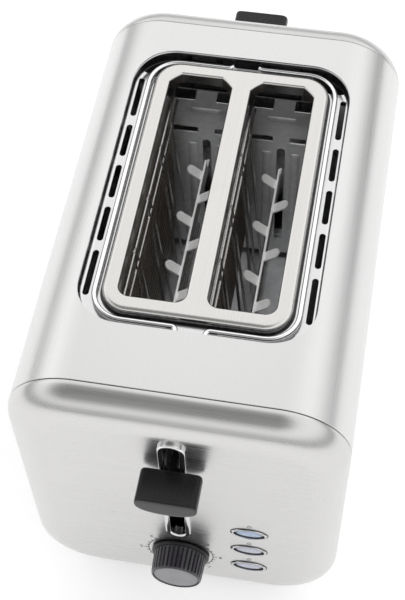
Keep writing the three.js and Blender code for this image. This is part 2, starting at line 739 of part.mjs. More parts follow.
// ---------------------------------------------------------------- fold-up bun rack
/** Where a wing's crank pin is, as (distance outward of the pivot line, height), once the wing has turned. */
function crankPin(turned) {
  const angle = degrees(CRANK.restAngle + turned);
  return { out: CRANK.arm * Math.sin(angle), z: RACK.z - CRANK.arm * Math.cos(angle) };
}

/** One wing: a single wire round its half of the slot plate, ending in the crank behind the rear wall. */
function bunWing(side, rear) {
  const { pivotX, z, wire: radius, sideX, front, corner } = RACK;
  const pin = crankPin(0);
  const pinX = side * (pivotX + pin.out);
  const corners = [
    point(side * pivotX, -88.6, z),
    point(side * pivotX, front, z),
    point(side * sideX, front, z),
    point(side * sideX, rear, z),
    point(side * pivotX, rear, z),
    point(side * pivotX, CRANK.y, z),
    point(pinX, CRANK.y, pin.z),
    point(pinX, CRANK.pinEnd, pin.z),
  ];
  const tight = 2.2;
  return wire(rounded(corners, [tight, corner, corner, tight, tight, tight], 4), radius);
}

/** The curved track that one crank pin follows in the cam plate while the plate comes down. */
function camTrack(side) {
  const half = RACK.wire + CAM.clearance;
  const steps = 10;
  const path = range(steps + 1).map((i) => {
    const share = i / steps;
    const pin = crankPin(CRANK.sweep * share);
    return new THREE.Vector2(side * (RACK.pivotX + pin.out), pin.z + CRANK.travel * share);
  });
  const spots = path.map(({ x, y }) => barAlong(x, y, half, CAM.front - 1, CAM.back + 1, 12));
  const strips = path.slice(1).map((to, i) => {
    const from = path[i];
    const along = to.clone().sub(from).normalize().multiplyScalar(half);
    const sideways = new THREE.Vector2(-along.y, along.x);
    const corners = [
      from.clone().add(sideways),
      from.clone().sub(sideways),
      to.clone().sub(sideways),
      to.clone().add(sideways),
    ];
    return carried(new THREE.Shape(corners), CAM.front - 1, CAM.back + 1);
  });
  return join(...spots, ...strips);
}

/** The plate that the rear lever drives: two cam tracks turn its fall into the wings' swing. */
function rackCamPlate() {
  const plate = middleBlock(CAM.halfWidth, CAM.front, CAM.back, CAM.bottom, CAM.top);
  const { halfHeight, halfThickness } = LEVER;
  const tip = KNOB.back + KNOB.socket - GAP;
  const blade = middleBlock(
    halfThickness,
    CAM.back - 0.5,
    tip,
    RACK_LEVER.z - halfHeight,
    RACK_LEVER.z + halfHeight,
  );
  return cut(plate.add(blade), camTrack(-1), camTrack(1));
}

/** Behind the recess: the wings' rear bearing, with the two grooved rails that the cam plate runs in. */
function rackRearGuide() {
  const bottom = 150;
  const top = 196.4;
  const wall = middleBlock(30, 97.8, 99.8, bottom, top);
  const rails = [-1, 1].map((side) => {
    const edges = [side * 26.2, side * 30].sort((a, b) => a - b);
    return block(edges[0], edges[1], 99, 109.5, bottom, top);
  });
  const groove = middleBlock(CAM.halfWidth + 0.4, CAM.front - GAP, CAM.back + GAP, 0, FAR);
  const bores = [-1, 1].map((side) =>
    barAlong(side * RACK.pivotX, RACK.z, RACK.wire + CAM.clearance, 90, 120),
  );
  return cut(join(wall, ...rails), groove, ...bores);
}

function rackFrontBearing() {
  const bearing = middleBlock(14, -89.5, -84.6, 188.5, 196.4);
  const bores = [-1, 1].map((side) =>
    barAlong(side * RACK.pivotX, RACK.z, RACK.wire + CAM.clearance, -95, -80),
  );
  return cut(bearing, ...bores);
}

place("bun_wing_left", bunWing(-1, RACK_REAR.left), CHROME);
place("bun_wing_right", bunWing(1, RACK_REAR.right), CHROME);
place("rack_cam_plate", rackCamPlate(), GALVANISED);
place("rack_rear_guide", rackRearGuide(), BLACK_PLASTIC);
place("rack_front_bearing", rackFrontBearing(), BLACK_PLASTIC);
place("rack_lever_knob", mirroredRear(leverKnob(RACK_LEVER.z)), BLACK_PLASTIC);
const rearBezel = mirroredRear(slotBezel(RACK_LEVER.slotBottom, RACK_LEVER.slotTop));
place("rack_slot_bezel", rearBezel, CHROME);

// ---------------------------------------------------------------- crumb tray and cord gland
function crumbTray() {
  const { halfWidth, front, rear, bottom, top } = TRAY;
  const hollow = middleBlock(halfWidth - SHEET, front + SHEET, rear - SHEET, bottom + SHEET, FAR);
  return middleBlock(halfWidth, front, rear, bottom, top).subtract(hollow);
}

function crumbTrayHandle() {
  const grip = middleBlock(55, TRAY.rear + GAP, FACE - 0.4, 8.2, 18.8);
  return grip.subtract(middleBlock(32, FACE - 8, FAR, 0, 13));
}

function cordGland() {
  const { x, z, flange, body, bore } = GLAND;
  const rim = barAlong(x, z, flange, FACE + 0.2, FACE + 2.4, 20);
  const neck = barAlong(x, z, body, FACE - 8, FACE + 1, 20);
  return cut(rim.add(neck), barAlong(x, z, bore, 0, FAR, 16));
}

place("crumb_tray", crumbTray(), GALVANISED);
place("crumb_tray_handle", crumbTrayHandle(), BLACK_PLASTIC);
place("cord_gland", cordGland(), RUBBER);

export default toaster;
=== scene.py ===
"""The looks of a two-slot pop up toaster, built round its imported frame.

Shapes are written in millimetres, in the frame's axes: +X right seen from the front, +Y rear, +Z up.
"""

import json
import math

import bmesh
import bpy
from mathutils import Matrix, Vector
from mathutils.geometry import tessellate_polygon

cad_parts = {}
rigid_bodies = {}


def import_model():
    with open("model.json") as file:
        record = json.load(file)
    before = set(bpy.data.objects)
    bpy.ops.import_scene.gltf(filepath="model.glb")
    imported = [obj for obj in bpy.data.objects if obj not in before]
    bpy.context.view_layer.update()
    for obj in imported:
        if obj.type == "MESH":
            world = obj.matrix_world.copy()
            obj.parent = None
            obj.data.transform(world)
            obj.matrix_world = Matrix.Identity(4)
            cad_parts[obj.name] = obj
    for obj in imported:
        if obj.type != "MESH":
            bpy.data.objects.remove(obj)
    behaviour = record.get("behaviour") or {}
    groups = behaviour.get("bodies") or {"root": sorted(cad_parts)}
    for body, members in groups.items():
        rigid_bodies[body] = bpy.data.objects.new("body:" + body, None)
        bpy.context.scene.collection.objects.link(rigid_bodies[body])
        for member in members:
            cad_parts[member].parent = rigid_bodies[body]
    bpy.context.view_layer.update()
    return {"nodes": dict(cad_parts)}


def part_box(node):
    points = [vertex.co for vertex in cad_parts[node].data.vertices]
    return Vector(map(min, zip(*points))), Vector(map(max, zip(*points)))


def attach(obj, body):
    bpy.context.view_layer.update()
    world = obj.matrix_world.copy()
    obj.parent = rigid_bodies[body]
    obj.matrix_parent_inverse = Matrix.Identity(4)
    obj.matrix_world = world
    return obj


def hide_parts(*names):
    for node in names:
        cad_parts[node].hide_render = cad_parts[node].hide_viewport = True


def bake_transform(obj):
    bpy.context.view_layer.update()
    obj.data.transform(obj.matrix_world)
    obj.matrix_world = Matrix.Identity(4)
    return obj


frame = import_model()

MM = 0.001

# ---- driving dimensions, mm
SHEET, GAP, FAR = 0.8, 0.3, 300
BODY_HALF, BODY_BOTTOM, BODY_TOP, BODY_CORNER = 85, 7, 199, 36
SEAM, SEAM_GROOVE, CAP_DEPTH, CAP_EDGE = 118, 0.25, 16, 18
FACE = SEAM + CAP_DEPTH
OPEN_HALF, OPEN_FRONT, OPEN_REAR, OPEN_CORNER = 59.6, -83.5, 96.5, 23
PAN_FLOOR, PAN_FILLET, PAN_LEDGE, FOOT_SHADOW = 190.8, 2.4, -2.8, 1.1
PLATE_HALF, PLATE_FRONT, PLATE_REAR, PLATE_CORNER, PLATE_TOP = 47.85, -74.2, 91.3, 14, 196
SLOT_X, SLOT_HALF, SLOT_FRONT, SLOT_REAR, SLOT_CORNER, SLOT_BOW = 22.5, 17.15, -65.2, 82.8, 6, 0.15
VENT_X, VENT_WIDTH = 56, 3.3
VENT_SPANS = ((-65.2, -37.6), (-31.6, -9.6), (-3.6, 18.4), (24.6, 46.6), (53, 80.6))
LEVER_SLOT_HALF, LEVER_SLOT, RACK_SLOT = 3.9, (76.5, 177.5), (149.5, 175.3)
BEAD_WIDTH, BEAD_SIDE, BEAD_ROUND, BEAD_SLEEVE, BEAD_HOLE = 3.0, 1.3, 0.9, 1.1, 1.4
BUTTONS = ("stop", "reheat", "defrost")
BEZEL_RADII, KEY_RADII, LENS_RADII, KEY_BACK, STEM_HALF = (8.2, 4.6), (7.6, 4.0), (6.7, 3.1), 9, 2
DIAL_FIRST, DIAL_SWEEP, DIAL_RIBS, RIB_DEPTH, RIB_STEPS = 225, 270, 36, 0.06, 8
TICKS, TICK_FOOT, NUMBERS, NUMBER_REACH, NUMBER_SIZE, INK = 25, 18.2, 7, 22.2, 3.8, 0.03
RACK_PIVOT, RACK_Z, RACK_WIRE, CRANK_ARM, CRANK_REST = 7.5, 193.4, 1.4, 20, -8
WING_HALF, WING_FRONT, CRANK_Y, CRANK_END, WING_END = 51.3, -78.2, 101.7, 107.4, -88.6
CHAMBER_HALF, CHAMBER_FRONT, CHAMBER_REAR, CHAMBER_LOW, CHAMBER_TOP = 62, -77, 96, 20, 169
GUIDE_FOOT, GUIDE_HEAD, GUIDE_LOW, GUIDE_HIGH, GUIDE_STAY = 8.5, 17.4, 40, 176, 164
RAIL_WIRE, STAY_WIRE, HAIRPIN_WIRE = 1.1, 0.9, 0.85
CARRIERS_X, CARRIER_HALF, CARRIER_TALL, CARRIER_EAR = (-24, 21), 0.7, 14, 5
TAB_PITCH, FIRST_TAB, TAB_HALF, TAB_THICK, TAB_REACH, TAB_RISE = 35.2, -43, 3.25, 0.9, 9.2, 5.0
CORNER_STEPS = 14
SIDES = (-1, 1)
TINY = 1e-4
WELD = 2e-6  # metres


# ---- outlines
def circle(steps):
    """The (cosine, sine) pairs of a full turn."""
    angles = (2 * math.pi * i / steps for i in range(steps))
    return [(math.cos(a), math.sin(a)) for a in angles]


def quarter(steps):
    """The (sine, cosine) pairs of a quarter turn, both ends included."""
    angles = (math.pi / 2 * i / steps for i in range(steps + 1))
    return [(math.sin(a), math.cos(a)) for a in angles]


def rounded_rect(u0, u1, v0, v1, radius, steps=CORNER_STEPS):
    """Points round a rectangle with round corners, anticlockwise."""
    left, right, low, high = u0 + radius, u1 - radius, v0 + radius, v1 - radius
    points = []
    for cu, cv, start in ((right, low, -90), (right, high, 0), (left, high, 90), (left, low, 180)):
        for i in range(steps + 1):
            angle = math.radians(start + 90 * i / steps)
            points.append((cu + radius * math.cos(angle), cv + radius * math.sin(angle)))
    return points


def grown_rect(half, v0, v1, radius, grow, middle=0, steps=CORNER_STEPS):
    """A rounded rectangle about u = middle, grown on every side."""
    reach = half + grow
    return rounded_rect(middle - reach, middle + reach, v0 - grow, v1 + grow, radius + grow, steps)


def ellipse(cu, cv, ru, rv, steps=64):
    return [(cu + ru * c, cv + rv * s) for c, s in circle(steps)]


def body_section(inset):
    """The body's outline across its length, as (x, z), set in by some amount."""
    return grown_rect(BODY_HALF, BODY_BOTTOM, BODY_TOP, BODY_CORNER, -inset, steps=24)


def opening(grow=0):
    return grown_rect(OPEN_HALF, OPEN_FRONT, OPEN_REAR, OPEN_CORNER, grow)


def plate(grow=0):
    return grown_rect(PLATE_HALF, PLATE_FRONT, PLATE_REAR, PLATE_CORNER, grow)


def bread_slot(x, grow=0):
    """A slot's outline: round front corners, and rear corners cut off almost straight."""
    outline = grown_rect(SLOT_HALF, SLOT_FRONT, SLOT_REAR, SLOT_CORNER, grow, x)
    count = CORNER_STEPS + 1
    for first in (count, 2 * count):
        start, end = outline[first], outline[first + CORNER_STEPS]
        for i in range(count):
            line = (a + (b - a) * i / CORNER_STEPS for a, b in zip(start, end))
            pairs = zip(outline[first + i], line)
            outline[first + i] = tuple(SLOT_BOW * arc + (1 - SLOT_BOW) * cut for arc, cut in pairs)
    return outline


def stadium(half, v0, v1, grow=0):
    """A tall slot with half-round ends, centred on u = 0."""
    reach, steps = half + grow, 2 * CORNER_STEPS
    points = []
    for centre, start in ((v1 + grow - reach, 0), (v0 - grow + reach, 180)):
        for i in range(steps + 1):
            angle = math.radians(start + 180 * i / steps)
            points.append((reach * math.cos(angle), centre + reach * math.sin(angle)))
    return points


def level(points, z):
    """An (x, y) outline laid at a height, which may be a number or a rule of (x, y)."""
    return [(x, y, z(x, y) if callable(z) else z) for x, y in points]


def upright(points, y):
    """An (x, z) outline stood at some y."""
    return [(x, y, z) for x, z in points]


def shell_height(x, inset):
    """The height of the body's upper surface at x, set in by some amount."""
    flat = BODY_HALF - BODY_CORNER
    radius = BODY_CORNER - inset
    beyond = max(abs(x) - flat, 0)
    return BODY_TOP - BODY_CORNER + math.sqrt(max(radius * radius - beyond * beyond, 0))


# ---- meshes
class Shape:
    """Points and faces gathered in millimetres, then made into one Blender object."""

    def __init__(self):
        self.points = []
        self.faces = []

    def add(self, points):
        first = len(self.points)
        self.points.extend(tuple(p) for p in points)
        return list(range(first, len(self.points)))

    def bridge(self, a, b):
        count = len(a)
        for i in range(count):
            j = (i + 1) % count
            self.faces.append((a[i], a[j], b[j], b[i]))

    def loft(self, rings, loop=False, caps=True):
        """Skins a run of rings, and joins the last to the first or closes both ends."""
        rows = [self.add(ring) for ring in rings]
        for a, b in zip(rows, rows[1:]):
            self.bridge(a, b)
        if loop:
            self.bridge(rows[-1], rows[0])
        elif caps:
            self.faces += [tuple(reversed(rows[0])), tuple(rows[-1])]
        return self

    def sheet(self, outer, holes=()):
        """A flat face with holes in it."""
        loops = [outer, *holes]
        rows = self.add([p for loop in loops for p in loop])
        for triangle in tessellate_polygon([[Vector(p) for p in loop] for loop in loops]):
            self.faces.append(tuple(rows[i] for i in triangle))

    def sweep(self, path, radius, sides=12):
        """A round wire along a path, with slightly domed ends."""
        path = [Vector(p) for p in path]
        neighbours = zip([path[0], *path[:-1]], [*path[1:], path[-1]])
        tangents = [(after - before).normalized() for before, after in neighbours]
        across = tangents[0].orthogonal().normalized()
        rings = []
        for centre, tangent in zip(path, tangents):
            across = (across - across.dot(tangent) * tangent).normalized()
            u, v = across * radius, tangent.cross(across) * radius
            rings.append([centre + u * c + v * s for c, s in circle(sides)])
        first, last = path[0], path[-1]
        dome, shrink = radius * 0.3, 0.6
        start = [first + (p - first) * shrink - tangents[0] * dome for p in rings[0]]
        end = [last + (p - last) * shrink + tangents[-1] * dome for p in rings[-1]]
        return self.loft([start, *rings, end])

    def block(self, low, high, bevel=0.0):
        """A block with chamfered edges."""
        (x0, y0, z0), (x1, y1, z1) = low, high
        rings = []
        for z, inset in ((z0, bevel), (z0 + bevel, 0), (z1 - bevel, 0), (z1, bevel)):
            corner = max(bevel, 0.01)
            outline = rounded_rect(x0 + inset, x1 - inset, y0 + inset, y1 - inset, corner, 2)
            rings.append(level(outline, z))
        return self.loft(rings)

    def build(self, name, sharp=32):
        """Makes the object: a clean mesh with smooth shading and crisp edges."""
        mesh = bpy.data.meshes.new(name)
        mesh.from_pydata([Vector(p) * MM for p in self.points], [], self.faces)
        work = bmesh.new()
        work.from_mesh(mesh)
        bmesh.ops.remove_doubles(work, verts=work.verts, dist=WELD)
        bmesh.ops.recalc_face_normals(work, faces=work.faces)
        work.to_mesh(mesh)
        work.free()
        shade(mesh, sharp)
        return linked(name, mesh)


def linked(name, data):
    """A new object in the scene."""
    made = bpy.data.objects.new(name, data)
    bpy.context.scene.collection.objects.link(made)
    return made


def shade(mesh, sharp):
    for polygon in mesh.polygons:
        polygon.use_smooth = True
    mesh.set_sharp_from_angle(angle=math.radians(sharp))


def apply_modifiers(made):
    """Bakes a piece's modifiers into its mesh."""
    depsgraph = bpy.context.evaluated_depsgraph_get()
    depsgraph.update()
    mesh = bpy.data.meshes.new_from_object(made.evaluated_get(depsgraph))
    made.modifiers.clear()
    made.data = mesh


def carve(made, *cutters, sharp=32):
    """Cuts solids out of a piece, which leaves crisp edges."""
    for cutter in cutters:
        tool = cutter.build("cutter")
        modifier = made.modifiers.new("cut", "BOOLEAN")
        modifier.operation = "DIFFERENCE"
        modifier.solver = "EXACT"
        modifier.object = tool
        apply_modifiers(made)
        bpy.data.objects.remove(tool)
    shade(made.data, sharp)
    return made


def soften(made, width, angle=40):
    """Rounds a piece's crisp edges."""
    modifier = made.modifiers.new("edge", "BEVEL")
    modifier.width = width * MM
    modifier.segments = 2
    modifier.limit_method = "ANGLE"
    modifier.angle_limit = math.radians(angle)


def thicken(made, thickness, offset=-1):
    """Gives a skin its sheet thickness, inwards or to both sides."""
    modifier = made.modifiers.new("thickness", "SOLIDIFY")
    modifier.thickness = thickness * MM
    modifier.offset = offset
    apply_modifiers(made)
    shade(made.data, 32)
    return made


def dress(made, material, *nodes, body="housing", slot=None):
    """Gives a piece its material and its body, and hides the CAD nodes it stands for."""
    made.data.materials.clear()
    made.data.materials.append(material)
    weighted = made.modifiers.new("normals", "WEIGHTED_NORMAL")
    weighted.keep_sharp = True
    weighted.weight = 60
    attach(made, body)
    if nodes:
        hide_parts(*nodes)
    return made


def rounded_path(corners, radii, steps=8):
    """A polyline with each inner corner turned into an arc."""
    corners = [Vector(c) for c in corners]
    path = [corners[0]]
    for i in range(1, len(corners) - 1):
        incoming = (corners[i - 1] - corners[i]).normalized()
        outgoing = (corners[i + 1] - corners[i]).normalized()
        half = incoming.angle(outgoing) / 2
        radius = radii[i - 1]
        centre = corners[i] + (incoming + outgoing).normalized() * (radius / math.sin(half))
        start = corners[i] + incoming * (radius / math.tan(half))
        axis = outgoing.cross(incoming).normalized()
        for k in range(steps + 1):
            turn = Matrix.Rotation((math.pi - 2 * half) * k / steps, 3, axis)
            path.append(centre + turn @ (start - centre))
    path.append(corners[-1])
    return path


# ---- materials
class Nodes:
    """A short way to write a node tree."""

    def __init__(self, tree):
        self.tree = tree

    def node(self, kind, **settings):
        """A node with its properties and inputs set by name."""
        made = self.tree.nodes.new("ShaderNode" + kind)
        for key, value in settings.items():
            if hasattr(made, key):
                setattr(made, key, value)
            else:
                made.inputs[key.replace("_", " ")].default_value = value
        return made

    def link(self, output, to):
        self.tree.links.new(output, to)


class Surface(Nodes):
    """A material, with its Principled shader's sockets set by name."""

    def __init__(self, name, **values):
        self.material = bpy.data.materials.new(name)
        self.material.use_nodes = True
        super().__init__(self.material.node_tree)
        self.shader = self.tree.nodes["Principled BSDF"]
        for key, value in values.items():
            self.shader.inputs[key.replace("_", " ")].default_value = value

    def noise(self, scale, detail=3.0, roughness=0.5):
        """Noise in object coordinates, in cells per millimetre: one number, or one for each axis."""
        scales = scale if isinstance(scale, tuple) else (scale, scale, scale)
        coords = self.node("TexCoord")
        mapping = self.node("Mapping", Scale=[s / MM for s in scales])
        self.link(coords.outputs["Object"], mapping.inputs["Vector"])
        made = self.node("TexNoise", Scale=1.0, Detail=detail, Roughness=roughness)
        self.link(mapping.outputs["Vector"], made.inputs["Vector"])
        return made.outputs["Fac"]

    def spread(self, value, low, high):
        """Maps a noise onto a range of numbers."""
        start, end = NOISE_RANGE
        made = self.node("MapRange", From_Min=start, From_Max=end, To_Min=low, To_Max=high)
        self.link(value, made.inputs["Value"])
        return made.outputs["Result"]

    def tint(self, value, low, high):
        """Maps a noise onto a range of colours."""
        made = self.node("Mix", data_type="RGBA")
        self.link(self.spread(value, 0.0, 1.0), made.inputs["Factor"])
        made.inputs[6].default_value = (*low, 1)
        made.inputs[7].default_value = (*high, 1)
        self.link(made.outputs[2], self.shader.inputs["Base Color"])

    def bump(self, height, strength, distance=0.05):
        made = self.node("Bump", Strength=strength, Distance=distance * MM)
        self.link(height, made.inputs["Height"])
        self.link(made.outputs["Normal"], self.shader.inputs["Normal"])

    def roughness(self, value, low, high):
        self.link(self.spread(value, low, high), self.shader.inputs["Roughness"])


def brushed_steel(name, grain, low, high, rough=(0.24, 0.36)):
    """Steel with hairlines that run along the axis whose grain scale is small."""
    n = Surface(name, Metallic=1.0, Anisotropic=0.35)
    hairlines = n.noise(grain, 4.0, 0.65)
    clouds = n.noise(0.012, 2.0)
    both = n.node("Math", operation="MULTIPLY_ADD")
    n.link(hairlines, both.inputs[0])
    both.inputs[1].default_value = 0.8
    fade = n.node("Math", operation="MULTIPLY")
    n.link(clouds, fade.inputs[0])
    fade.inputs[1].default_value = 0.2
    n.link(fade.outputs[0], both.inputs[2])
    n.tint(both.outputs[0], low, high)
    n.roughness(both.outputs[0], *rough)
    n.bump(hairlines, 0.12, 0.02)
    return n.material


def bright_metal(name, low, high, rough, mottle=0.4, bump=0.02, metallic=1.0):
    """Plated or rolled metal with a faint unevenness."""
    n = Surface(name, Metallic=metallic)
    patches = n.noise(mottle)
    n.tint(patches, low, high)
    n.roughness(patches, *rough)
    n.bump(patches, bump)
    return n.material


def moulded(name, low, high, rough, grain=3.0, bump=0.25, coat=0.0, specular=0.5):
    """Moulded plastic or rubber with a fine skin."""
    n = Surface(name, Coat_Weight=coat, Coat_Roughness=0.12, Specular_IOR_Level=specular)
    skin = n.noise(grain)
    n.tint(n.noise(0.06, 2.0), low, high)
    n.roughness(skin, *rough)
    n.bump(skin, bump, 0.03)
    return n.material


def lens(name, low, high, painted_glow):
    """A lens with a faintly clouded colour and a soft even painted glow: emission that brightens it."""
    n = Surface(
        name, Roughness=0.22, Emission_Strength=painted_glow, Emission_Color=(*high, 1),
        Subsurface_Weight=0.3, Subsurface_Scale=0.002,
    )
    n.tint(n.noise((0.5, 0.5, 0.9), 2.0), low, high)
    n.bump(n.noise(2), 0.05)
    return n.material


NOISE_RANGE = (0.3, 0.7)
ALONG_Y = (2.6, 0.012, 2.6)
ALONG_X = (0.012, 2.6, 2.6)
STEEL_WRAP = brushed_steel("steel_wrap", ALONG_Y, (0.685, 0.685, 0.68), (0.735, 0.735, 0.73))
# The caps' steel: its grain runs across, and its tone is darker than the wrap's steel; the darker tone is
# painted shade matched to the front face.
CAP_STEEL_SHADED = brushed_steel("steel_cap", ALONG_X, (0.62, 0.615, 0.61), (0.67, 0.665, 0.66))
STEEL_PLATE = brushed_steel("steel_plate", ALONG_Y, (0.66, 0.65, 0.635), (0.73, 0.72, 0.70), (0.2, 0.3))
STEEL_PAN = brushed_steel("steel_pan", ALONG_Y, (0.68, 0.68, 0.68), (0.78, 0.78, 0.775), (0.16, 0.26))
CHROME = bright_metal("chrome", (0.86, 0.86, 0.87), (0.93, 0.93, 0.94), (0.04, 0.09))
WIRE = bright_metal("bright_wire", (0.6, 0.6, 0.6), (0.75, 0.75, 0.75), (0.16, 0.28), 1.2)
# Painted shade: a darker copy of the slot plate's steel, for its skirt.
SKIRT_PAINTED_SHADE = bright_metal("steel_skirt", (0.30, 0.30, 0.30), (0.38, 0.38, 0.375), (0.18, 0.26))
# Painted shade: near-black steel for the recess's walls, and a painted shadow round the slot plate's foot.
PAINTED_SHADE_STEEL = bright_metal("dark_steel", (0.05, 0.05, 0.05), (0.09, 0.09, 0.09), (0.3, 0.4))
GALVANISED = bright_metal(
    "galvanised", (0.62, 0.63, 0.64), (0.74, 0.75, 0.76), (0.38, 0.52), 0.25, 0.05, 0.35
)
CARRIER_STEEL = bright_metal(
    "carrier_steel", (0.85, 0.85, 0.85), (0.93, 0.93, 0.92), (0.45, 0.55), metallic=0.2
)
GUIDE_WIRE = bright_metal("guide_wire", (0.42, 0.41, 0.40), (0.6, 0.59, 0.58), (0.25, 0.4), 1.2)
SATIN_CHROME = bright_metal("satin_chrome", (0.66, 0.66, 0.66), (0.74, 0.74, 0.74), (0.07, 0.12))
BEZEL_CHROME = bright_metal("bezel_chrome", (0.5, 0.5, 0.51), (0.6, 0.6, 0.61), (0.1, 0.16))
BLACK = moulded(
    "black_moulding", (0.010, 0.010, 0.011), (0.016, 0.016, 0.017), (0.22, 0.34), specular=0.3
)
BLACK_BASE = moulded("black_base", (0.014, 0.014, 0.014), (0.025, 0.025, 0.025), (0.4, 0.55), 2, 0.5)
CHARCOAL = moulded(
    "charcoal_moulding", (0.035, 0.032, 0.040), (0.05, 0.046, 0.056), (0.2, 0.32), 3, 0.1, 0.4
)
GREY = moulded("grey_disc", (0.22, 0.22, 0.23), (0.26, 0.26, 0.27), (0.3, 0.42), 3, 0.1)
KEY_RIM = moulded("key_rim", (0.09, 0.095, 0.11), (0.13, 0.135, 0.15), (0.15, 0.25), 3, 0.05)
RUBBER = moulded("rubber", (0.012, 0.012, 0.012), (0.03, 0.03, 0.03), (0.6, 0.85), 1.5, 0.6)
MICA = moulded("mica", (0.20, 0.17, 0.14), (0.34, 0.29, 0.24), (0.4, 0.65), 0.5, 0.6)
RIBBON = bright_metal("ribbon", (0.20, 0.17, 0.15), (0.36, 0.32, 0.28), (0.3, 0.5), 0.8)
CIRCUIT = moulded("circuit_board", (0.02, 0.10, 0.05), (0.04, 0.16, 0.08), (0.3, 0.5))
COPPER = bright_metal("copper", (0.55, 0.22, 0.10), (0.75, 0.36, 0.2), (0.2, 0.4), 2.0)
MARKS = moulded("printed_marks", (0.04, 0.04, 0.045), (0.07, 0.07, 0.075), (0.4, 0.6))
# Both lenses carry a faint emission: a painted glow.
LENS_BLUE = lens("lens_blue", (0.29, 0.37, 0.51), (0.38, 0.46, 0.61), 0.12)
LENS_PALE = lens("lens_pale", (0.40, 0.41, 0.50), (0.52, 0.53, 0.62), 0.1)


# ---- outer shell
def extruded(points, low, high):
    """A solid prism from an (x, y) outline."""
    return Shape().loft([level(points, low), level(points, high)])


def cutting_block(low, high):
    return Shape().block(low, high)


def box_mm(node):
    """The middle and the size of a CAD node's box, in millimetres."""
    low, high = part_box(node)
    return (low + high) / 2 / MM, (high - low) / MM


def wrap():
    """The folded steel wrap, with its recess opening and its open underside."""
    end, edge, under_half = SEAM - SEAM_GROOVE, 0.2, 52
    stations = (
        (edge, -end), (0, edge - end), (0, end - edge), (edge, end), (SHEET, end), (SHEET, -end),
    )
    made = Shape().loft([upright(body_section(inset), y) for inset, y in stations], loop=True)
    skin = made.build("wrap_skin", 50)
    top_hole = extruded(opening(), PAN_FLOOR, BODY_TOP + 20)
    carve(skin, top_hole, cutting_block((-under_half, -FAR, -5), (under_half, FAR, 30)), sharp=50)
    soften(skin, 0.22, 60)
    dress(skin, STEEL_WRAP, "wrap_shell", slot="brushed_steel")


def cap_rings():
    """The front cap's outer surface, from its joggled lip to the edge of its flat face."""
    lip, groove = SHEET + GAP, SEAM_GROOVE
    stations = ((lip, -SEAM + 7), (lip, -SEAM + 0.1), (groove, -SEAM - groove))
    rings = [upright(body_section(inset), y) for inset, y in stations]
    for sine, cosine in quarter(20)[1:]:
        y = -SEAM - groove - (CAP_DEPTH - groove) * sine
        rings.append(upright(body_section(CAP_EDGE * (1 - cosine)), y))
    return rings


def end_cap(name, holes, mirrored):
    """A pressed end cap: rounded edge, flat face with holes whose rims turn inwards."""
    made = Shape()
    rings = cap_rings()
    made.loft(rings, caps=False)
    rims = [upright(hole, -FACE) for hole in holes]
    made.sheet(rings[-1], rims)
    for hole, rim in zip(holes, rims):
        made.loft([rim, upright(hole, -FACE + 0.9)], caps=False)
    if mirrored:
        made.points = [(x, -y, z) for x, y, z in made.points]
    return thicken(made.build(name, 50), SHEET)


def front_cap():
    """The front cap, with holes for the lever, the dial's shaft and the buttons."""
    dial, _ = box_mm("browning_shaft")
    shaft_hole, button_hole = 4, (9.15, 5.15)
    holes = [stadium(LEVER_SLOT_HALF, *LEVER_SLOT, BEAD_HOLE)]
    holes.append(ellipse(dial.x, dial.z, shaft_hole, shaft_hole))
    for name in BUTTONS:
        centre, _ = box_mm(name + "_button_bezel")
        holes.append(ellipse(centre.x, centre.z, *button_hole))
    skin = end_cap("front_cap_skin", holes, False)
    dress(skin, CAP_STEEL_SHADED, "front_end_cap", slot="brushed_steel")


def rear_cap():
    """The rear cap, with holes for the rack's lever and the cord, and a notch for the tray."""
    gland_at, _ = box_mm("cord_gland")
    gland_hole, notch_half, notch_top, inner = 5.5, 55.4, 19.2, 108.3
    holes = [stadium(LEVER_SLOT_HALF, *RACK_SLOT, BEAD_HOLE)]
    holes.append(ellipse(gland_at.x, gland_at.z, gland_hole, gland_hole))
    skin = end_cap("rear_cap_skin", holes, True)
    carve(skin, cutting_block((-notch_half, inner, -5), (notch_half, 150, notch_top)), sharp=50)
    dress(skin, CAP_STEEL_SHADED, "rear_end_cap", slot="brushed_steel")


def base_moulding():
    """The black cradle under the shell, rounded below, with cross grooves in its underside."""
    half, long, corner, low, top = 70, 122, 30, 2.6, 20
    groove, wide, deep, last, pitch = 36, 1.5, 1.2, 66, 12
    rings = []
    for z, inset in ((low, 1.6), (low + 0.5, 0.5), (low + 1.4, 0), (top, 0)):
        rings.append(level(rounded_rect(inset - half, half - inset, inset - long, long - inset, corner), z))
    pan = Shape().loft(rings).build("base_moulding")
    stations = ((4, 4 - FACE), (-GAP, -SEAM), (-GAP, SEAM), (4, FACE - 4))
    body = Shape().loft([upright(body_section(inset), y) for inset, y in stations])
    grooves = [
        cutting_block((-groove, y - wide, low - 1), (groove, y + wide, low + deep))
        for y in range(-last, last + 1, pitch)
    ]
    carve(pan, body, *grooves)
    soften(pan, 0.3)
    dress(pan, BLACK_BASE, "base_pan", slot="black_plastic")


def feet():
    """Four rubber feet with a hollow middle."""
    profile = ((TINY, 0.5), (3, 0.5), (3.4, 0), (6.6, 0), (7.6, 0.5), (8, 1.4), (8, 2.4), (TINY, 2.4))
    for place in ("front_left", "front_right", "rear_left", "rear_right"):
        node = "foot_" + place
        centre, _ = box_mm(node)
        rings = [level(ellipse(centre.x, centre.y, r, r, 40), z) for r, z in profile]
        dress(Shape().loft(rings).build(node + "_rubber"), RUBBER, node, slot="rubber")


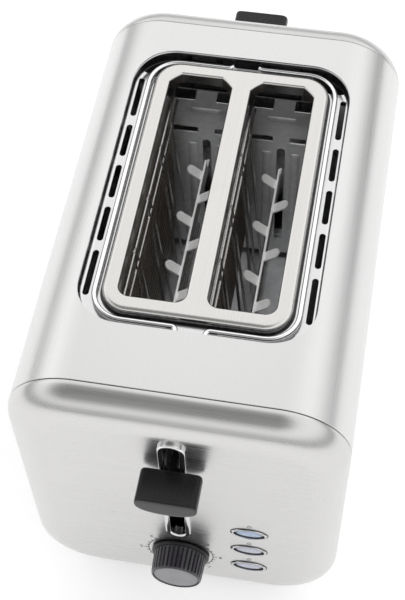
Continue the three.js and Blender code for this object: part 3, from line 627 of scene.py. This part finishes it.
# ---- recess, slot plate and wings
def recess():
    """The drawn pan round the slot plate, with vents in its floor and windows in its end walls; its walls get
    painted shade and a band round the plate's foot gets a painted shadow.
    """
    pan = Shape().loft(pan_rings(), loop=True).build("recess_pan")
    cutters = []
    half = VENT_WIDTH / 2
    for x in (-VENT_X, VENT_X):
        for front, rear in VENT_SPANS:
            hole = rounded_rect(x - half, x + half, front, rear, half - 0.001, 8)
            cutters.append(extruded(hole, PAN_FLOOR - 3, PAN_FLOOR + 1.5))
    for y in (OPEN_FRONT, OPEN_REAR):
        cutters.append(cutting_block((-13, y - 2, 191.3), (13, y + 2, 196.2)))
        for side in SIDES:
            left, right = sorted((side * 17, side * 31))
            cutters.append(cutting_block((left, y - 2, 193.2), (right, y + 2, 196)))
    for side in SIDES:
        left, right = sorted((side * 36, side * 64))
        cutters.append(cutting_block((left, 85, PAN_FLOOR - 4), (right, 104, PAN_FLOOR + 0.9)))
    carve(pan, *cutters)
    dress(pan, STEEL_PAN, "top_recess_pan", slot="brushed_steel")
    # The walls and the band round the plate's foot take the dark steel: painted shade on the walls, a painted
    # shadow at the plate's foot.
    pan.data.materials.append(PAINTED_SHADE_STEEL)
    for polygon in pan.data.polygons:
        x, y, z = polygon.center / MM
        wall = z > PAN_FLOOR + 1.2 and abs(polygon.normal.z) < 0.5
        if wall or under_plate(x, y):
            polygon.material_index = 1


def pan_rings():
    """The pan's section: its flange under the wrap, its inside, and back along its underside."""

    def rim(drop=0.0, sheets=1):
        return lambda x, y: shell_height(x, sheets * SHEET + GAP) - drop

    flange = ((6, rim(sheets=2)), (6, rim()), (0.5, rim()), (0.1, rim(0.4)), (0, rim(1.0)))
    rings = [level(opening(grow), height) for grow, height in flange]
    for sine, cosine in quarter(6):
        rings.append(level(opening(-PAN_FILLET * (1 - cosine)), PAN_FLOOR + PAN_FILLET * (1 - sine)))
    back = (
        (plate(FOOT_SHADOW), PAN_FLOOR), (plate(PAN_LEDGE), PAN_FLOOR),
        (plate(PAN_LEDGE), PAN_FLOOR - SHEET), (opening(SHEET - PAN_FILLET), PAN_FLOOR - SHEET),
        (opening(SHEET), PAN_FLOOR + PAN_FILLET), (opening(SHEET), rim(sheets=2)),
    )
    return rings + [level(outline, height) for outline, height in back]


def under_plate(x, y):
    """True where a point lies inside the slot plate's outline, grown by the painted shadow strip at its foot.
    """
    middle, half_long = (PLATE_FRONT + PLATE_REAR) / 2, (PLATE_REAR - PLATE_FRONT) / 2
    beyond_x = max(abs(x) - (PLATE_HALF - PLATE_CORNER), 0)
    beyond_y = max(abs(y - middle) - (half_long - PLATE_CORNER), 0)
    return math.hypot(beyond_x, beyond_y) < PLATE_CORNER + FOOT_SHADOW


def slot_plate():
    """The plate round the two slots: a rolled rim, a skirt, and lips turned down into the slots."""
    rim, lip_edge, lip_end = 2.6, 1.3, PLATE_TOP - 7
    made = Shape()
    rings = [level(plate(), PAN_FLOOR + GAP)]
    for sine, cosine in quarter(8):
        rings.append(level(plate(-rim * (1 - cosine)), PLATE_TOP - rim * (1 - sine)))
    made.loft(rings, caps=False)
    rims = []
    for x in (-SLOT_X, SLOT_X):
        lips = []
        for sine, cosine in quarter(6):
            lips.append(level(bread_slot(x, lip_edge * (1 - sine)), PLATE_TOP - lip_edge * (1 - cosine)))
        lips.append(level(bread_slot(x), lip_end))
        made.loft(lips, caps=False)
        rims.append(lips[0])
    made.sheet(rings[-1], rims)
    skin = thicken(made.build("slot_plate_skin"), 0.7)
    dress(skin, STEEL_PLATE, "slot_plate", slot="brushed_steel")
    # The skirt below the rim takes a darker copy of the plate's steel: painted shade.
    skin.data.materials.append(SKIRT_PAINTED_SHADE)
    for polygon in skin.data.polygons:
        if polygon.center.z < (PLATE_TOP - 1) * MM:
            polygon.material_index = 1


def bun_wing(side, name, rear):
    """One wing of the bun rack: a single chromed wire from its front bearing round to its crank."""
    rest = math.radians(CRANK_REST)
    pivot_x, half = side * RACK_PIVOT, side * WING_HALF
    pin_x = side * (RACK_PIVOT + CRANK_ARM * math.sin(rest))
    pin_z = RACK_Z - CRANK_ARM * math.cos(rest)
    corners = [(pivot_x, WING_END), (pivot_x, WING_FRONT), (half, WING_FRONT), (half, rear)]
    corners += [(pivot_x, rear), (pivot_x, CRANK_Y)]
    path = [(x, y, RACK_Z) for x, y in corners] + [(pin_x, CRANK_Y, pin_z), (pin_x, CRANK_END, pin_z)]
    made = Shape().sweep(rounded_path(path, (2.2, 16, 16, 2.2, 2.2, 2.2)), RACK_WIRE, 16)
    node = "bun_" + name
    dress(made.build(node + "_wire"), CHROME, node, body=name.replace("wing_", "") + "_wing", slot="chrome")


# ---- toasting chamber
def ridge(made, path, width, height, out):
    """A pressed ridge along a path on a wall that faces along y."""
    path = [Vector(p) for p in path]
    direction = (path[-1] - path[0]).normalized()
    across = direction.cross(Vector((0, 1, 0))) * (width / 2)
    up = Vector((0, out * height, 0))
    shares = (1.0, 0.7, 0.35)
    rings = [(path[0], -1, share) for share in shares] + [(path[-1], 1, share) for share in reversed(shares)]
    steps = 8
    rows = []
    for end, shift, share in rings:
        centre = end - direction * shift * width / 2 * (1 - share)
        row = []
        for i in range(steps + 1):
            angle = math.pi * i / steps
            row.append(centre + across * math.cos(angle) + up * math.sin(angle) * (1 - share * 0.55))
        rows.append(made.add(row))
    for a, b in zip(rows, rows[1:]):
        for i in range(steps):
            made.faces.append((a[i], a[i + 1], b[i + 1], b[i]))
    made.faces.append(tuple(reversed(rows[0])))
    made.faces.append(tuple(rows[-1]))


def chamber_wall(name, node, y, towards):
    """An end wall of the chamber: folded top, windows, the carriers' slots and pressed ridges."""
    outer = rounded_rect(-CHAMBER_HALF, CHAMBER_HALF, CHAMBER_LOW, CHAMBER_TOP, 1, 2)
    holes = []
    for x in CARRIERS_X:
        holes.append([(x + u, v) for u, v in stadium(2.5, 34.5, 126)])
        for side in SIDES:
            window = sorted((x + side * 5, x + side * 20))
            holes.append(rounded_rect(*window, 131.5, 136.5, 0.8, 3))
    made = Shape()
    made.sheet(upright(outer, y), [upright(hole, y) for hole in holes])
    wall = thicken(made.build(name), SHEET, 0)
    fold = Shape()
    for low, high in ((-51, -28.5), (-16.5, 16.5), (28.5, 51)):
        ends = sorted((y, y + towards * 8))
        fold.block((low, ends[0], CHAMBER_TOP - SHEET), (high, ends[1], CHAMBER_TOP), 0.2)
    dress(fold.build(name + "_fold"), WIRE, slot="galvanised")
    pressed = Shape()
    for x in CARRIERS_X:
        ridge(pressed, [(x - 8.5, y, 152), (x + 8.5, y, 152)], 4.2, 1.5, towards)
        for side in SIDES:
            u = x + side * 8.6
            ridge(pressed, [(u, y, 44), (u, y, 122)], 6, 1.5, towards)
    dress(pressed.build(name + "_ridges", 60), GALVANISED, slot="galvanised")
    dress(wall, GALVANISED, node, slot="galvanised")


def element(name, board, ribbons):
    """A mica board with notched edges and the flat ribbons wound to and fro over it."""
    centre, size = box_mm(board)
    low, front, rear = centre.z - size.z / 2, centre.y - size.y / 2, centre.y + size.y / 2
    notches, depth = 9, 1.5
    pitch = (centre.z + size.z / 2 - low) / notches
    steps = [low + k * pitch for k in range(notches)]
    edge = []
    for z in steps:
        edge += [(rear, z + 1), (rear, z + pitch - 2.5), (rear - depth, z + pitch - 1.6)]
    for z in reversed(steps):
        edge += [(front + depth, z + pitch - 1.6), (front, z + pitch - 2.5), (front, z + 1)]
    rings = [[(centre.x + side * size.x / 2, y, z) for y, z in edge] for side in SIDES]
    dress(Shape().loft(rings).build(name + "_mica"), MICA, board, slot="mica")
    for node in ribbons:
        ribbon(node, front + 9, rear - 9)


def ribbon(node, near, far):
    """The heating ribbon of one face: level runs joined by slanted turns."""
    centre, size = box_mm(node)
    runs, half = 16, 0.75
    pitch = (size.z - 2 * half) / (runs - 1)
    rings = []
    for k in range(runs):
        z = centre.z - size.z / 2 + half + k * pitch
        for y in (near, far) if k % 2 == 0 else (far, near):
            corners = ((-1, -1), (1, -1), (1, 1), (-1, 1))
            rings.append([(centre.x + u * size.x / 2, y, z + v * half) for u, v in corners])
    dress(Shape().loft(rings).build(node + "_band"), RIBBON, node, slot="nichrome")


def bread_guide(name, x, side):
    """A leaning grille: bottom and top rails, a stay, and hairpins hooked over the top rail."""
    foot, head = x + side * GUIDE_FOOT, x + side * GUIDE_HEAD

    def at(y, z):
        share = (z - GUIDE_LOW) / (GUIDE_HIGH - GUIDE_LOW)
        return Vector((foot + (head - foot) * share, y, z))

    made = Shape()
    front, rear = CHAMBER_FRONT + 5, CHAMBER_REAR - 5
    made.sweep([(foot, CHAMBER_FRONT - 2.4, GUIDE_LOW), (foot, CHAMBER_REAR + 2.4, GUIDE_LOW)], RAIL_WIRE)
    made.sweep([at(front, GUIDE_HIGH), at(rear, GUIDE_HIGH)], RAIL_WIRE, 14)
    made.sweep([at(front, GUIDE_STAY), at(rear, GUIDE_STAY)], STAY_WIRE, 12)
    shoulder, crest = GUIDE_HIGH - 14, GUIDE_HIGH + 0.9
    for middle in (-25.4, 9.8, 45):
        stations = ((-8.8, GUIDE_LOW), (-3.2, shoulder), (-1.6, crest), (1.6, crest), (3.2, shoulder))
        legs = [at(middle + along, z) for along, z in (*stations, (8.8, GUIDE_LOW))]
        made.sweep(rounded_path(legs, (4, 1.2, 1.2, 4), 6), HAIRPIN_WIRE, 10)
    for y in (-51.8, 71.4):
        made.sweep([at(y, GUIDE_LOW), at(y, GUIDE_HIGH)], HAIRPIN_WIRE, 10)
    dress(made.build(name + "_wires"), GUIDE_WIRE, name, body=name.replace("bread_", ""), slot="bare_steel")


def carrier_tab(made, x, y, side, top):
    """A tongue bent out of the carrier, round at its end and tilted up."""
    start = Vector((1.6, top - 1.3))
    run = Vector((TAB_REACH, top + TAB_RISE)) - start
    length, tangent = run.length, run.normalized()
    stations = [(Vector(p), TAB_HALF) for p in ((0.2, top - 3.8), (0.6, top - 2.6), start)]
    end = [(length - TAB_HALF + TAB_HALF * sine, TAB_HALF * cosine) for sine, cosine in quarter(10)]
    for along, width in [(2, TAB_HALF), *end[:-1], (length, 0.3)]:
        stations.append((start + tangent * along, width))
    normal = Vector((-tangent.y, tangent.x)) * TAB_THICK
    rows = []
    for (u, v), width in stations:
        over = (x + side * (u + normal.x), v + normal.y)
        rows.append([
            (x + side * u, y - width, v), (x + side * u, y + width, v),
            (over[0], y + width, over[1]), (over[0], y - width, over[1]),
        ])
    made.loft(rows)


def bread_carrier(name):
    """The strip on edge that the bread stands on, with its alternating tongues."""
    centre, size = box_mm(name)
    low = centre.z - size.z / 2
    top, ear = low + CARRIER_TALL, low + CARRIER_EAR
    made = Shape()
    for front, rear, high in (
        (CHAMBER_FRONT + 4, CHAMBER_REAR - 4, top),
        (-86.9, CHAMBER_FRONT + 5, ear),
        (CHAMBER_REAR - 5, CHAMBER_REAR + 3.9, ear),
    ):
        made.block((centre.x - CARRIER_HALF, front, low), (centre.x + CARRIER_HALF, rear, high), 0.3)
    for side, count, shift in ((-1, 5, 0.5), (1, 4, 0)):
        for k in range(count):
            carrier_tab(made, centre.x, FIRST_TAB + (k - shift) * TAB_PITCH, side, top)
    dress(made.build(name + "_strip"), CARRIER_STEEL, name, body="carriage", slot="bare_steel")


# ---- controls
def bezier(steps, *controls):
    """Points along a cubic curve, without its last."""
    points = []
    for i in range(steps):
        t = i / steps
        weights = (1 - t) ** 3, 3 * t * (1 - t) ** 2, 3 * t * t * (1 - t), t**3
        points.append(tuple(sum(w * p[k] for w, p in zip(weights, controls)) for k in (0, 1)))
    return points


def knob_outline(half, tall):
    """A lever knob seen from its end: flat top, round ends, bowed underside."""
    shoulder, waist, belly, flank = half - 4, 1.5, -4.5, half - 0.4
    top = [(-shoulder + 2 * shoulder * i / 8, tall) for i in range(8)]
    right = bezier(8, (shoulder, tall), (flank, tall), (half, tall - 2), (half, waist))
    low_right = bezier(12, (half, waist), (half, belly), (8, -tall), (0, -tall))
    low_left = bezier(12, (0, -tall), (-8, -tall), (-half, belly), (-half, waist))
    left = bezier(8, (-half, waist), (-half, tall - 2), (-flank, tall), (-shoulder, tall))
    return top + right + low_right + low_left + left


def lever_knob(node, body, outwards):
    """A moulded lever knob with a softened rim and a lens-shaped end face."""
    centre, size = box_mm(node)
    half, tall = size.x / 2, size.z / 2
    outline = knob_outline(half, tall)
    near, far, rim, crown = FACE + 2.6, abs(centre.y) + size.y / 2, 0.6, 0.85
    stations = [(1.2, near), (0.3, near + 0.4), (0, near + 1.4)]
    stations += [(rim * (1 - cosine), far - crown + rim * sine) for sine, cosine in quarter(8)]
    rings = []
    for inset, y in [*stations, (2.6, far)]:
        scale_x, scale_z = (half - inset) / half, (tall - inset) / tall
        scaled = [(centre.x + u * scale_x, centre.z + v * scale_z) for u, v in outline]
        rings.append(upright(scaled, outwards * y))
    dress(Shape().loft(rings).build(node + "_moulding", 50), BLACK, node, body=body, slot="black_plastic")


def slot_bezel(node, span, outwards):
    """The domed chrome bead round a lever slot, with the sleeve that goes through the cap."""
    half, steps = BEAD_WIDTH / 2, 8
    profile = [(0, -BEAD_WIDTH), (0, BEAD_SIDE)]
    for i in range(steps + 1):
        angle = math.pi * (1 - i / steps)
        profile.append((half + half * math.cos(angle), BEAD_SIDE + BEAD_ROUND * math.sin(angle)))
    profile += [(BEAD_WIDTH, -0.2), (BEAD_SLEEVE, -0.2), (BEAD_SLEEVE, -BEAD_WIDTH)]
    rings = []
    for grow, rise in profile:
        rings.append(upright(stadium(LEVER_SLOT_HALF, *span, grow), outwards * (FACE + rise)))
    dress(Shape().loft(rings, loop=True).build(node + "_bead"), SATIN_CHROME, node, slot="chrome")


def browning_dial():
    """The ribbed dial with its glossy collar and its grey crowned disc."""
    centre, size = box_mm("browning_knob")
    front, body = size.y / 2 - centre.y, "browning_dial"

    def ring(radius, height, steps=96):
        return upright(ellipse(centre.x, centre.z, radius, radius, steps), -height)

    edge = ((3.3, 0.6), (15.4, 0.6), (16, 0.9), (16, 1.7), (15.6, 2.2), (14.9, 2.4), (3.3, 2.4))
    collar = Shape().loft([ring(radius, FACE + rise) for radius, rise in edge], loop=True)
    dress(collar.build("browning_dial_collar", 40), BLACK, body=body, slot="black_plastic")
    profile = (
        (3.3, FACE + 2.45), (14.5, FACE + 2.45), (14.5, FACE + 2.9), (14.4, FACE + 5), (14.15, FACE + 10),
        (13.95, front - 1.6), (13.8, front - 0.8), (13.4, front - 0.25), (12.9, front),
        (12.7, front - 0.2), (12.6, front - 1.2), (3.3, front - 1.2),
    )
    rings = []
    for radius, height in profile:
        ribbed = radius > 13 and FACE + 2.8 < height < front - 1.4
        outline = []
        for i, (cosine, sine) in enumerate(circle(DIAL_RIBS * RIB_STEPS)):
            wave = max(math.cos(2 * math.pi * i / RIB_STEPS), 0) ** 0.6
            reach = radius * (1 - RIB_DEPTH * wave if ribbed else 1)
            outline.append((centre.x + reach * cosine, centre.z + reach * sine))
        rings.append(upright(outline, -height))
    grip = Shape().loft(rings, loop=True)
    dress(grip.build("browning_dial_body", 40), CHARCOAL, "browning_knob", body=body, slot="charcoal_plastic")
    face = (
        (TINY, 0.02), (5, 0.06), (8.5, 0.16), (11, 0.32),
        (12.1, 0.5), (12.4, 0.8), (12.4, 1.15), (TINY, 1.15),
    )
    disc = Shape().loft([ring(radius, front - below) for radius, below in face])
    dress(disc.build("browning_dial_face", 60), GREY, "browning_knob_cap", body=body, slot="grey_plastic")


def button(name, material):
    """An oval push button: chrome bezel, dark gap, dark rim and crowned lens with a painted glow."""
    bezel, _ = box_mm(name + "_button_bezel")
    key = name + "_key"

    def oval(radii, grow_u, grow_v, rise, steps=64):
        return upright(ellipse(bezel.x, bezel.z, radii[0] + grow_u, radii[1] + grow_v, steps), -FACE - rise)

    seal = ((1.6, 0), (1.6, 0.25), (2, 0.25), (2, 0))
    rings = [oval(BEZEL_RADII, grow, grow / 2 + 0.1, rise, 72) for grow, rise in seal]
    gasket = Shape().loft(rings, loop=True)
    dress(gasket.build(name + "_gasket"), BLACK, slot="black_plastic")
    bead = (
        (0, -3.8), (0, 0.5), (0.15, 0.8), (0.6, 0.95), (1.1, 0.8),
        (1.5, 0.45), (1.7, 0), (0.8, 0), (0.8, -3.8),
    )
    ring = Shape().loft([oval(BEZEL_RADII, grow, grow / 2, rise, 72) for grow, rise in bead], loop=True)
    dress(ring.build(name + "_bezel_ring"), BEZEL_CHROME, name + "_button_bezel", slot="chrome")
    rim = ((0, -9.9), (0, -0.3), (0.1, 0), (0.35, 0.15), (0.65, 0.1), (0.8, -0.1), (1.6, -0.1))
    cap = Shape().loft([oval(KEY_RADII, -inset, -inset, rise) for inset, rise in rim])
    _, stem_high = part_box(name + "_button")
    low = (bezel.x - STEM_HALF, -FACE + KEY_BACK, bezel.z - STEM_HALF)
    cap.block(low, (bezel.x + STEM_HALF, stem_high.y / MM, bezel.z + STEM_HALF), 0.2)
    dress(cap.build(name + "_rim", 50), KEY_RIM, name + "_button", body=key, slot="button_lens")
    dome = ((0, -0.25), (0.1, 0.15), (0.35, 0.3), (1.0, 0.45), (2.0, 0.55))
    crown = Shape().loft([oval(LENS_RADII, -inset, -inset, rise) for inset, rise in dome])
    dress(crown.build(name + "_lens", 60), material, body=key, slot="button_lens")


def panel_marks():
    """Printed ticks and numbers round the dial, and a small sign over each button."""
    centre, _ = box_mm("browning_knob")
    y, made = -FACE - INK, Shape()

    def round_dial(i, count, reach=1.0):
        angle = math.radians(DIAL_FIRST - DIAL_SWEEP * i / (count - 1))
        return Vector((math.cos(angle), math.sin(angle))) * reach

    def printed(points):
        made.loft([upright(points, y), upright(points, y - INK)])

    for i in range(TICKS):
        along = round_dial(i, TICKS)
        across = Vector((-along.y, along.x)) * 0.3
        inner, outer = along * TICK_FOOT, along * (TICK_FOOT + (2.2 if i % 4 == 0 else 1.2))
        corners = (inner + across, inner - across, outer - across, outer + across)
        printed([(centre.x + c.x, centre.z + c.y) for c in corners])
    arcs = []
    for radius in (17.8, 18.3):
        points = (round_dial(i, 61, radius) for i in range(61))
        arcs.append([(centre.x + p.x, centre.z + p.y) for p in points])
    printed([*arcs[0], *reversed(arcs[1])])
    for name in BUTTONS:
        at, _ = box_mm(name + "_button_bezel")
        sign = ((0.9, 0), (1.2, 0), (1.2, INK), (0.9, INK))
        made.loft([upright(ellipse(at.x, at.z + 8.8, r, r, 20), y - rise) for r, rise in sign], loop=True)
        made.block((at.x - 0.13, y - INK, at.z + 9.4), (at.x + 0.13, y, at.z + 10.6))
    dress(made.build("panel_marks"), MARKS)
    for i in range(NUMBERS):
        offset = round_dial(i, NUMBERS, NUMBER_REACH)
        write(str(i + 1), centre.x + offset.x, centre.z + offset.y, f"dial_number_{i}")


def write(text, x, z, name):
    """A printed number on the front panel."""
    curve = bpy.data.curves.new(name, "FONT")
    curve.body = text
    curve.size = NUMBER_SIZE * MM
    curve.align_x = curve.align_y = "CENTER"
    curve.extrude = 0.02 * MM
    letters = linked(name, curve)
    letters.location = (x * MM, (-FACE - 0.05) * MM, z * MM)
    letters.rotation_euler = (math.pi / 2, 0, 0)
    bpy.context.view_layer.update()
    mesh = bpy.data.meshes.new_from_object(letters.evaluated_get(bpy.context.evaluated_depsgraph_get()))
    mesh.transform(letters.matrix_world)
    bpy.data.objects.remove(letters)
    dress(linked(name, mesh), MARKS)


# ---- rear, tray and inner works
def tray_handle():
    """The handle at the tray's rear end, hollowed from below for the fingers."""
    centre, size = box_mm("crumb_tray_handle")
    low, high = centre - size / 2, centre + size / 2
    grip = Shape().block(low, high, 0.9).build("tray_handle_moulding")
    carve(grip, cutting_block((-32, high.y - 7.6, low.z - 4), (32, high.y + 4, low.z + 4.8)))
    soften(grip, 0.35)
    dress(grip, BLACK, "crumb_tray_handle", body="crumb_drawer", slot="black_plastic")


def tray():
    """The crumb tray: a shallow pan with a thick turned edge."""
    centre, size = box_mm("crumb_tray")
    low, high = centre - size / 2, centre + size / 2

    def ring(z, inset, corner):
        return level(rounded_rect(low.x + inset, high.x - inset, low.y + inset, high.y - inset, corner, 6), z)

    rings = [
        ring(low.z + SHEET, 2.4, 2), ring(low.z + 2, SHEET, 2), ring(high.z, SHEET, 2 - SHEET / 2),
        ring(high.z, 0, 2), ring(low.z + 1.2, 0, 2), ring(low.z, 1.2, 1.4),
    ]
    pan = Shape().loft(rings).build("crumb_tray_pan")
    dress(pan, GALVANISED, "crumb_tray", body="crumb_drawer", slot="galvanised")


def gland():
    """The stepped rubber bush of the cord outlet."""
    centre, _ = box_mm("cord_gland")
    profile = (
        (3.6, -8), (5.1, -8), (5.1, -1.2), (5.1, 0.25), (7.9, 0.25), (8, 1.0), (7.4, 1.9), (6.2, 2.4),
        (4.4, 2.4), (3.7, 1.8), (3.6, 1.0),
    )
    rings = [upright(ellipse(centre.x, centre.z, r, r, 48), FACE + rise) for r, rise in profile]
    dress(Shape().loft(rings, loop=True).build("cord_bush"), RUBBER, "cord_gland", slot="rubber")


def lift_spring():
    """The carriage spring as a coil of wire, standing where the CAD spring stands."""
    centre, size = box_mm("lift_spring")
    wire_radius, turns, per_turn = 0.55, 12, 24
    radius = size.x / 2 - wire_radius
    foot, height = centre.z - size.z / 2 + wire_radius, size.z - 2 * wire_radius
    path = []
    for i in range(turns * per_turn + 1):
        angle = 2 * math.pi * i / per_turn
        rise = foot + height * i / (turns * per_turn)
        path.append((centre.x + radius * math.cos(angle), centre.y + radius * math.sin(angle), rise))
    coil = Shape().sweep(path, wire_radius, 8).build("lift_spring_coil")
    coil.data.materials.append(WIRE)
    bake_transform(coil)
    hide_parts("lift_spring")


def carried_over():
    """CAD nodes whose shape is right get their material."""
    switches = [name + "_button_switch" for name in BUTTONS]
    for material, nodes in (
        (GALVANISED, ("reflector_left", "reflector_right", "carriage_bracket", "rack_cam_plate")),
        (WIRE, ("carriage_guide_rod", "armature_plate", "electromagnet_core", "browning_shaft")),
        (COPPER, ("electromagnet_coil",)),
        (CIRCUIT, ("control_board",)),
        (BLACK, ("lever_arm", "browning_potentiometer", "rack_rear_guide", "rack_front_bearing", *switches)),
    ):
        for node in nodes:
            mesh = frame["nodes"][node].data
            mesh.materials.clear()
            mesh.materials.append(material)


# ---- floor, light and camera
def studio():
    """A pale floor, a wide pale sky that is grey near the horizon, and soft lights."""
    mesh, reach = bpy.data.meshes.new("floor"), 6.0
    corners = [(x * reach, y * reach, 0) for x, y in ((-1, -1), (1, -1), (1, 1), (-1, 1))]
    mesh.from_pydata(corners, [], [(0, 1, 2, 3)])
    paper = Surface(
        "floor_paper", Base_Color=(0.92, 0.92, 0.92, 1), Roughness=0.8, Specular_IOR_Level=0.1,
        Emission_Color=(1, 1, 1, 1), Emission_Strength=0.38,
    )
    mesh.materials.append(paper.material)
    linked("floor", mesh)
    sky()
    softbox("left_softbox", (-1.7, 1.0, 1.0), (0, 0, 0.12), 1.2, 1)
    softbox("right_softbox", (1.6, 1.6, 1.9), (0, 0, 0.1), 1.0, 0.4)
    inner = softbox("chamber_softbox", (-0.05, -0.3, 1.45), (0, 0, 0.1), 0.25, 9)
    inner.light_linking.receiver_collection = chamber_pieces()


def softbox(name, at, aim, size, power):
    """A square lamp turned to a point."""
    data = bpy.data.lights.new(name, "AREA")
    data.size = size
    data.energy = power
    lamp = linked(name, data)
    lamp.location = at
    lamp.rotation_euler = (Vector(aim) - Vector(at)).to_track_quat("-Z", "Y").to_euler()
    lamp.visible_camera = False
    return lamp


def chamber_pieces():
    """The pieces deep inside the slots, which a light of their own reaches."""
    group = bpy.data.collections.new("chamber_pieces")
    starts = ("chamber_", "element_", "bread_", "reflector_", "crumb_tray_pan")
    for piece in bpy.context.scene.objects:
        if piece.name.startswith(starts) and piece.type == "MESH":
            group.objects.link(piece)
    return group


def sky():
    """Brightness by height above the horizon, with a dark patch over the front for the unlit ceiling."""
    world = bpy.data.worlds.new("studio")
    bpy.context.scene.world = world
    world.use_nodes = True
    n = Nodes(world.node_tree)
    coords = n.node("TexCoord")
    split = n.node("SeparateXYZ")
    ramp = n.node("ValToRGB")
    n.link(coords.outputs["Generated"], split.inputs[0])
    n.link(split.outputs["Z"], ramp.inputs[0])
    stops = ((0.0, 0.45), (0.1, 0.42), (0.22, 0.6), (0.4, 1.1), (0.6, 1.2), (0.85, 1.12), (1.0, 1.05))
    elements = ramp.color_ramp.elements
    while len(elements) < len(stops):
        elements.new(0.5)
    for stop, (position, value) in zip(elements, stops):
        stop.position = position
        stop.color = (value, value, value, 1)
    toward = n.node("VectorMath", operation="DOT_PRODUCT")
    n.link(coords.outputs["Generated"], toward.inputs[0])
    toward.inputs[1].default_value = Vector((-0.22, -0.3, 0.93)).normalized()
    patch = n.node(
        "MapRange", interpolation_type="SMOOTHSTEP", From_Min=0.72, From_Max=0.96, To_Min=1.0, To_Max=0.25
    )
    n.link(toward.outputs["Value"], patch.inputs["Value"])
    background = n.tree.nodes["Background"]
    n.link(ramp.outputs[0], background.inputs["Color"])
    n.link(patch.outputs["Result"], background.inputs["Strength"])


def camera():
    """A long lens from above the front, to the right, rolled a little."""
    data = bpy.data.cameras.new("camera")
    data.sensor_width = 36
    data.lens = 80.24
    made = linked("camera", data)
    at = Vector((0.07792, -0.41322, 0.74385))
    forward = Vector((-0.11435, 0.53581, -0.83656)).normalized()
    right = forward.cross(Vector((-0.13246, 0.82634, 0.54737))).normalized()
    up = right.cross(forward)
    made.matrix_world = Matrix.Translation(at) @ Matrix((right, up, -forward)).transposed().to_4x4()
    bpy.context.scene.camera = made
    bpy.context.scene.view_settings.view_transform = "Standard"


camera()
wrap()
front_cap()
rear_cap()
base_moulding()
feet()
recess()
slot_plate()
bun_wing(-1, "wing_left", 92.9)
bun_wing(1, "wing_right", 94.6)
chamber_wall("chamber_front", "chassis_front_plate", CHAMBER_FRONT - SHEET / 2, 1)
chamber_wall("chamber_rear", "chassis_rear_plate", CHAMBER_REAR + SHEET / 2, -1)
for place, faces in (("left", ("left",)), ("centre", ("centre_left", "centre_right")), ("right", ("right",))):
    element("element_" + place, "element_board_" + place, ["element_ribbon_" + face for face in faces])
for place, x, side in (
    ("left_outer", -SLOT_X, -1), ("left_inner", -SLOT_X, 1),
    ("right_inner", SLOT_X, -1), ("right_outer", SLOT_X, 1),
):
    bread_guide("bread_guide_" + place, x, side)
bread_carrier("bread_carrier_left")
bread_carrier("bread_carrier_right")
lever_knob("lever_knob", "carriage", -1)
lever_knob("rack_lever_knob", "rack_lever", 1)
slot_bezel("lever_slot_bezel", LEVER_SLOT, -1)
slot_bezel("rack_slot_bezel", RACK_SLOT, 1)
browning_dial()
button("stop", LENS_BLUE)
button("reheat", LENS_PALE)
button("defrost", LENS_PALE)
panel_marks()
tray()
tray_handle()
gland()
lift_spring()
carried_over()
studio()
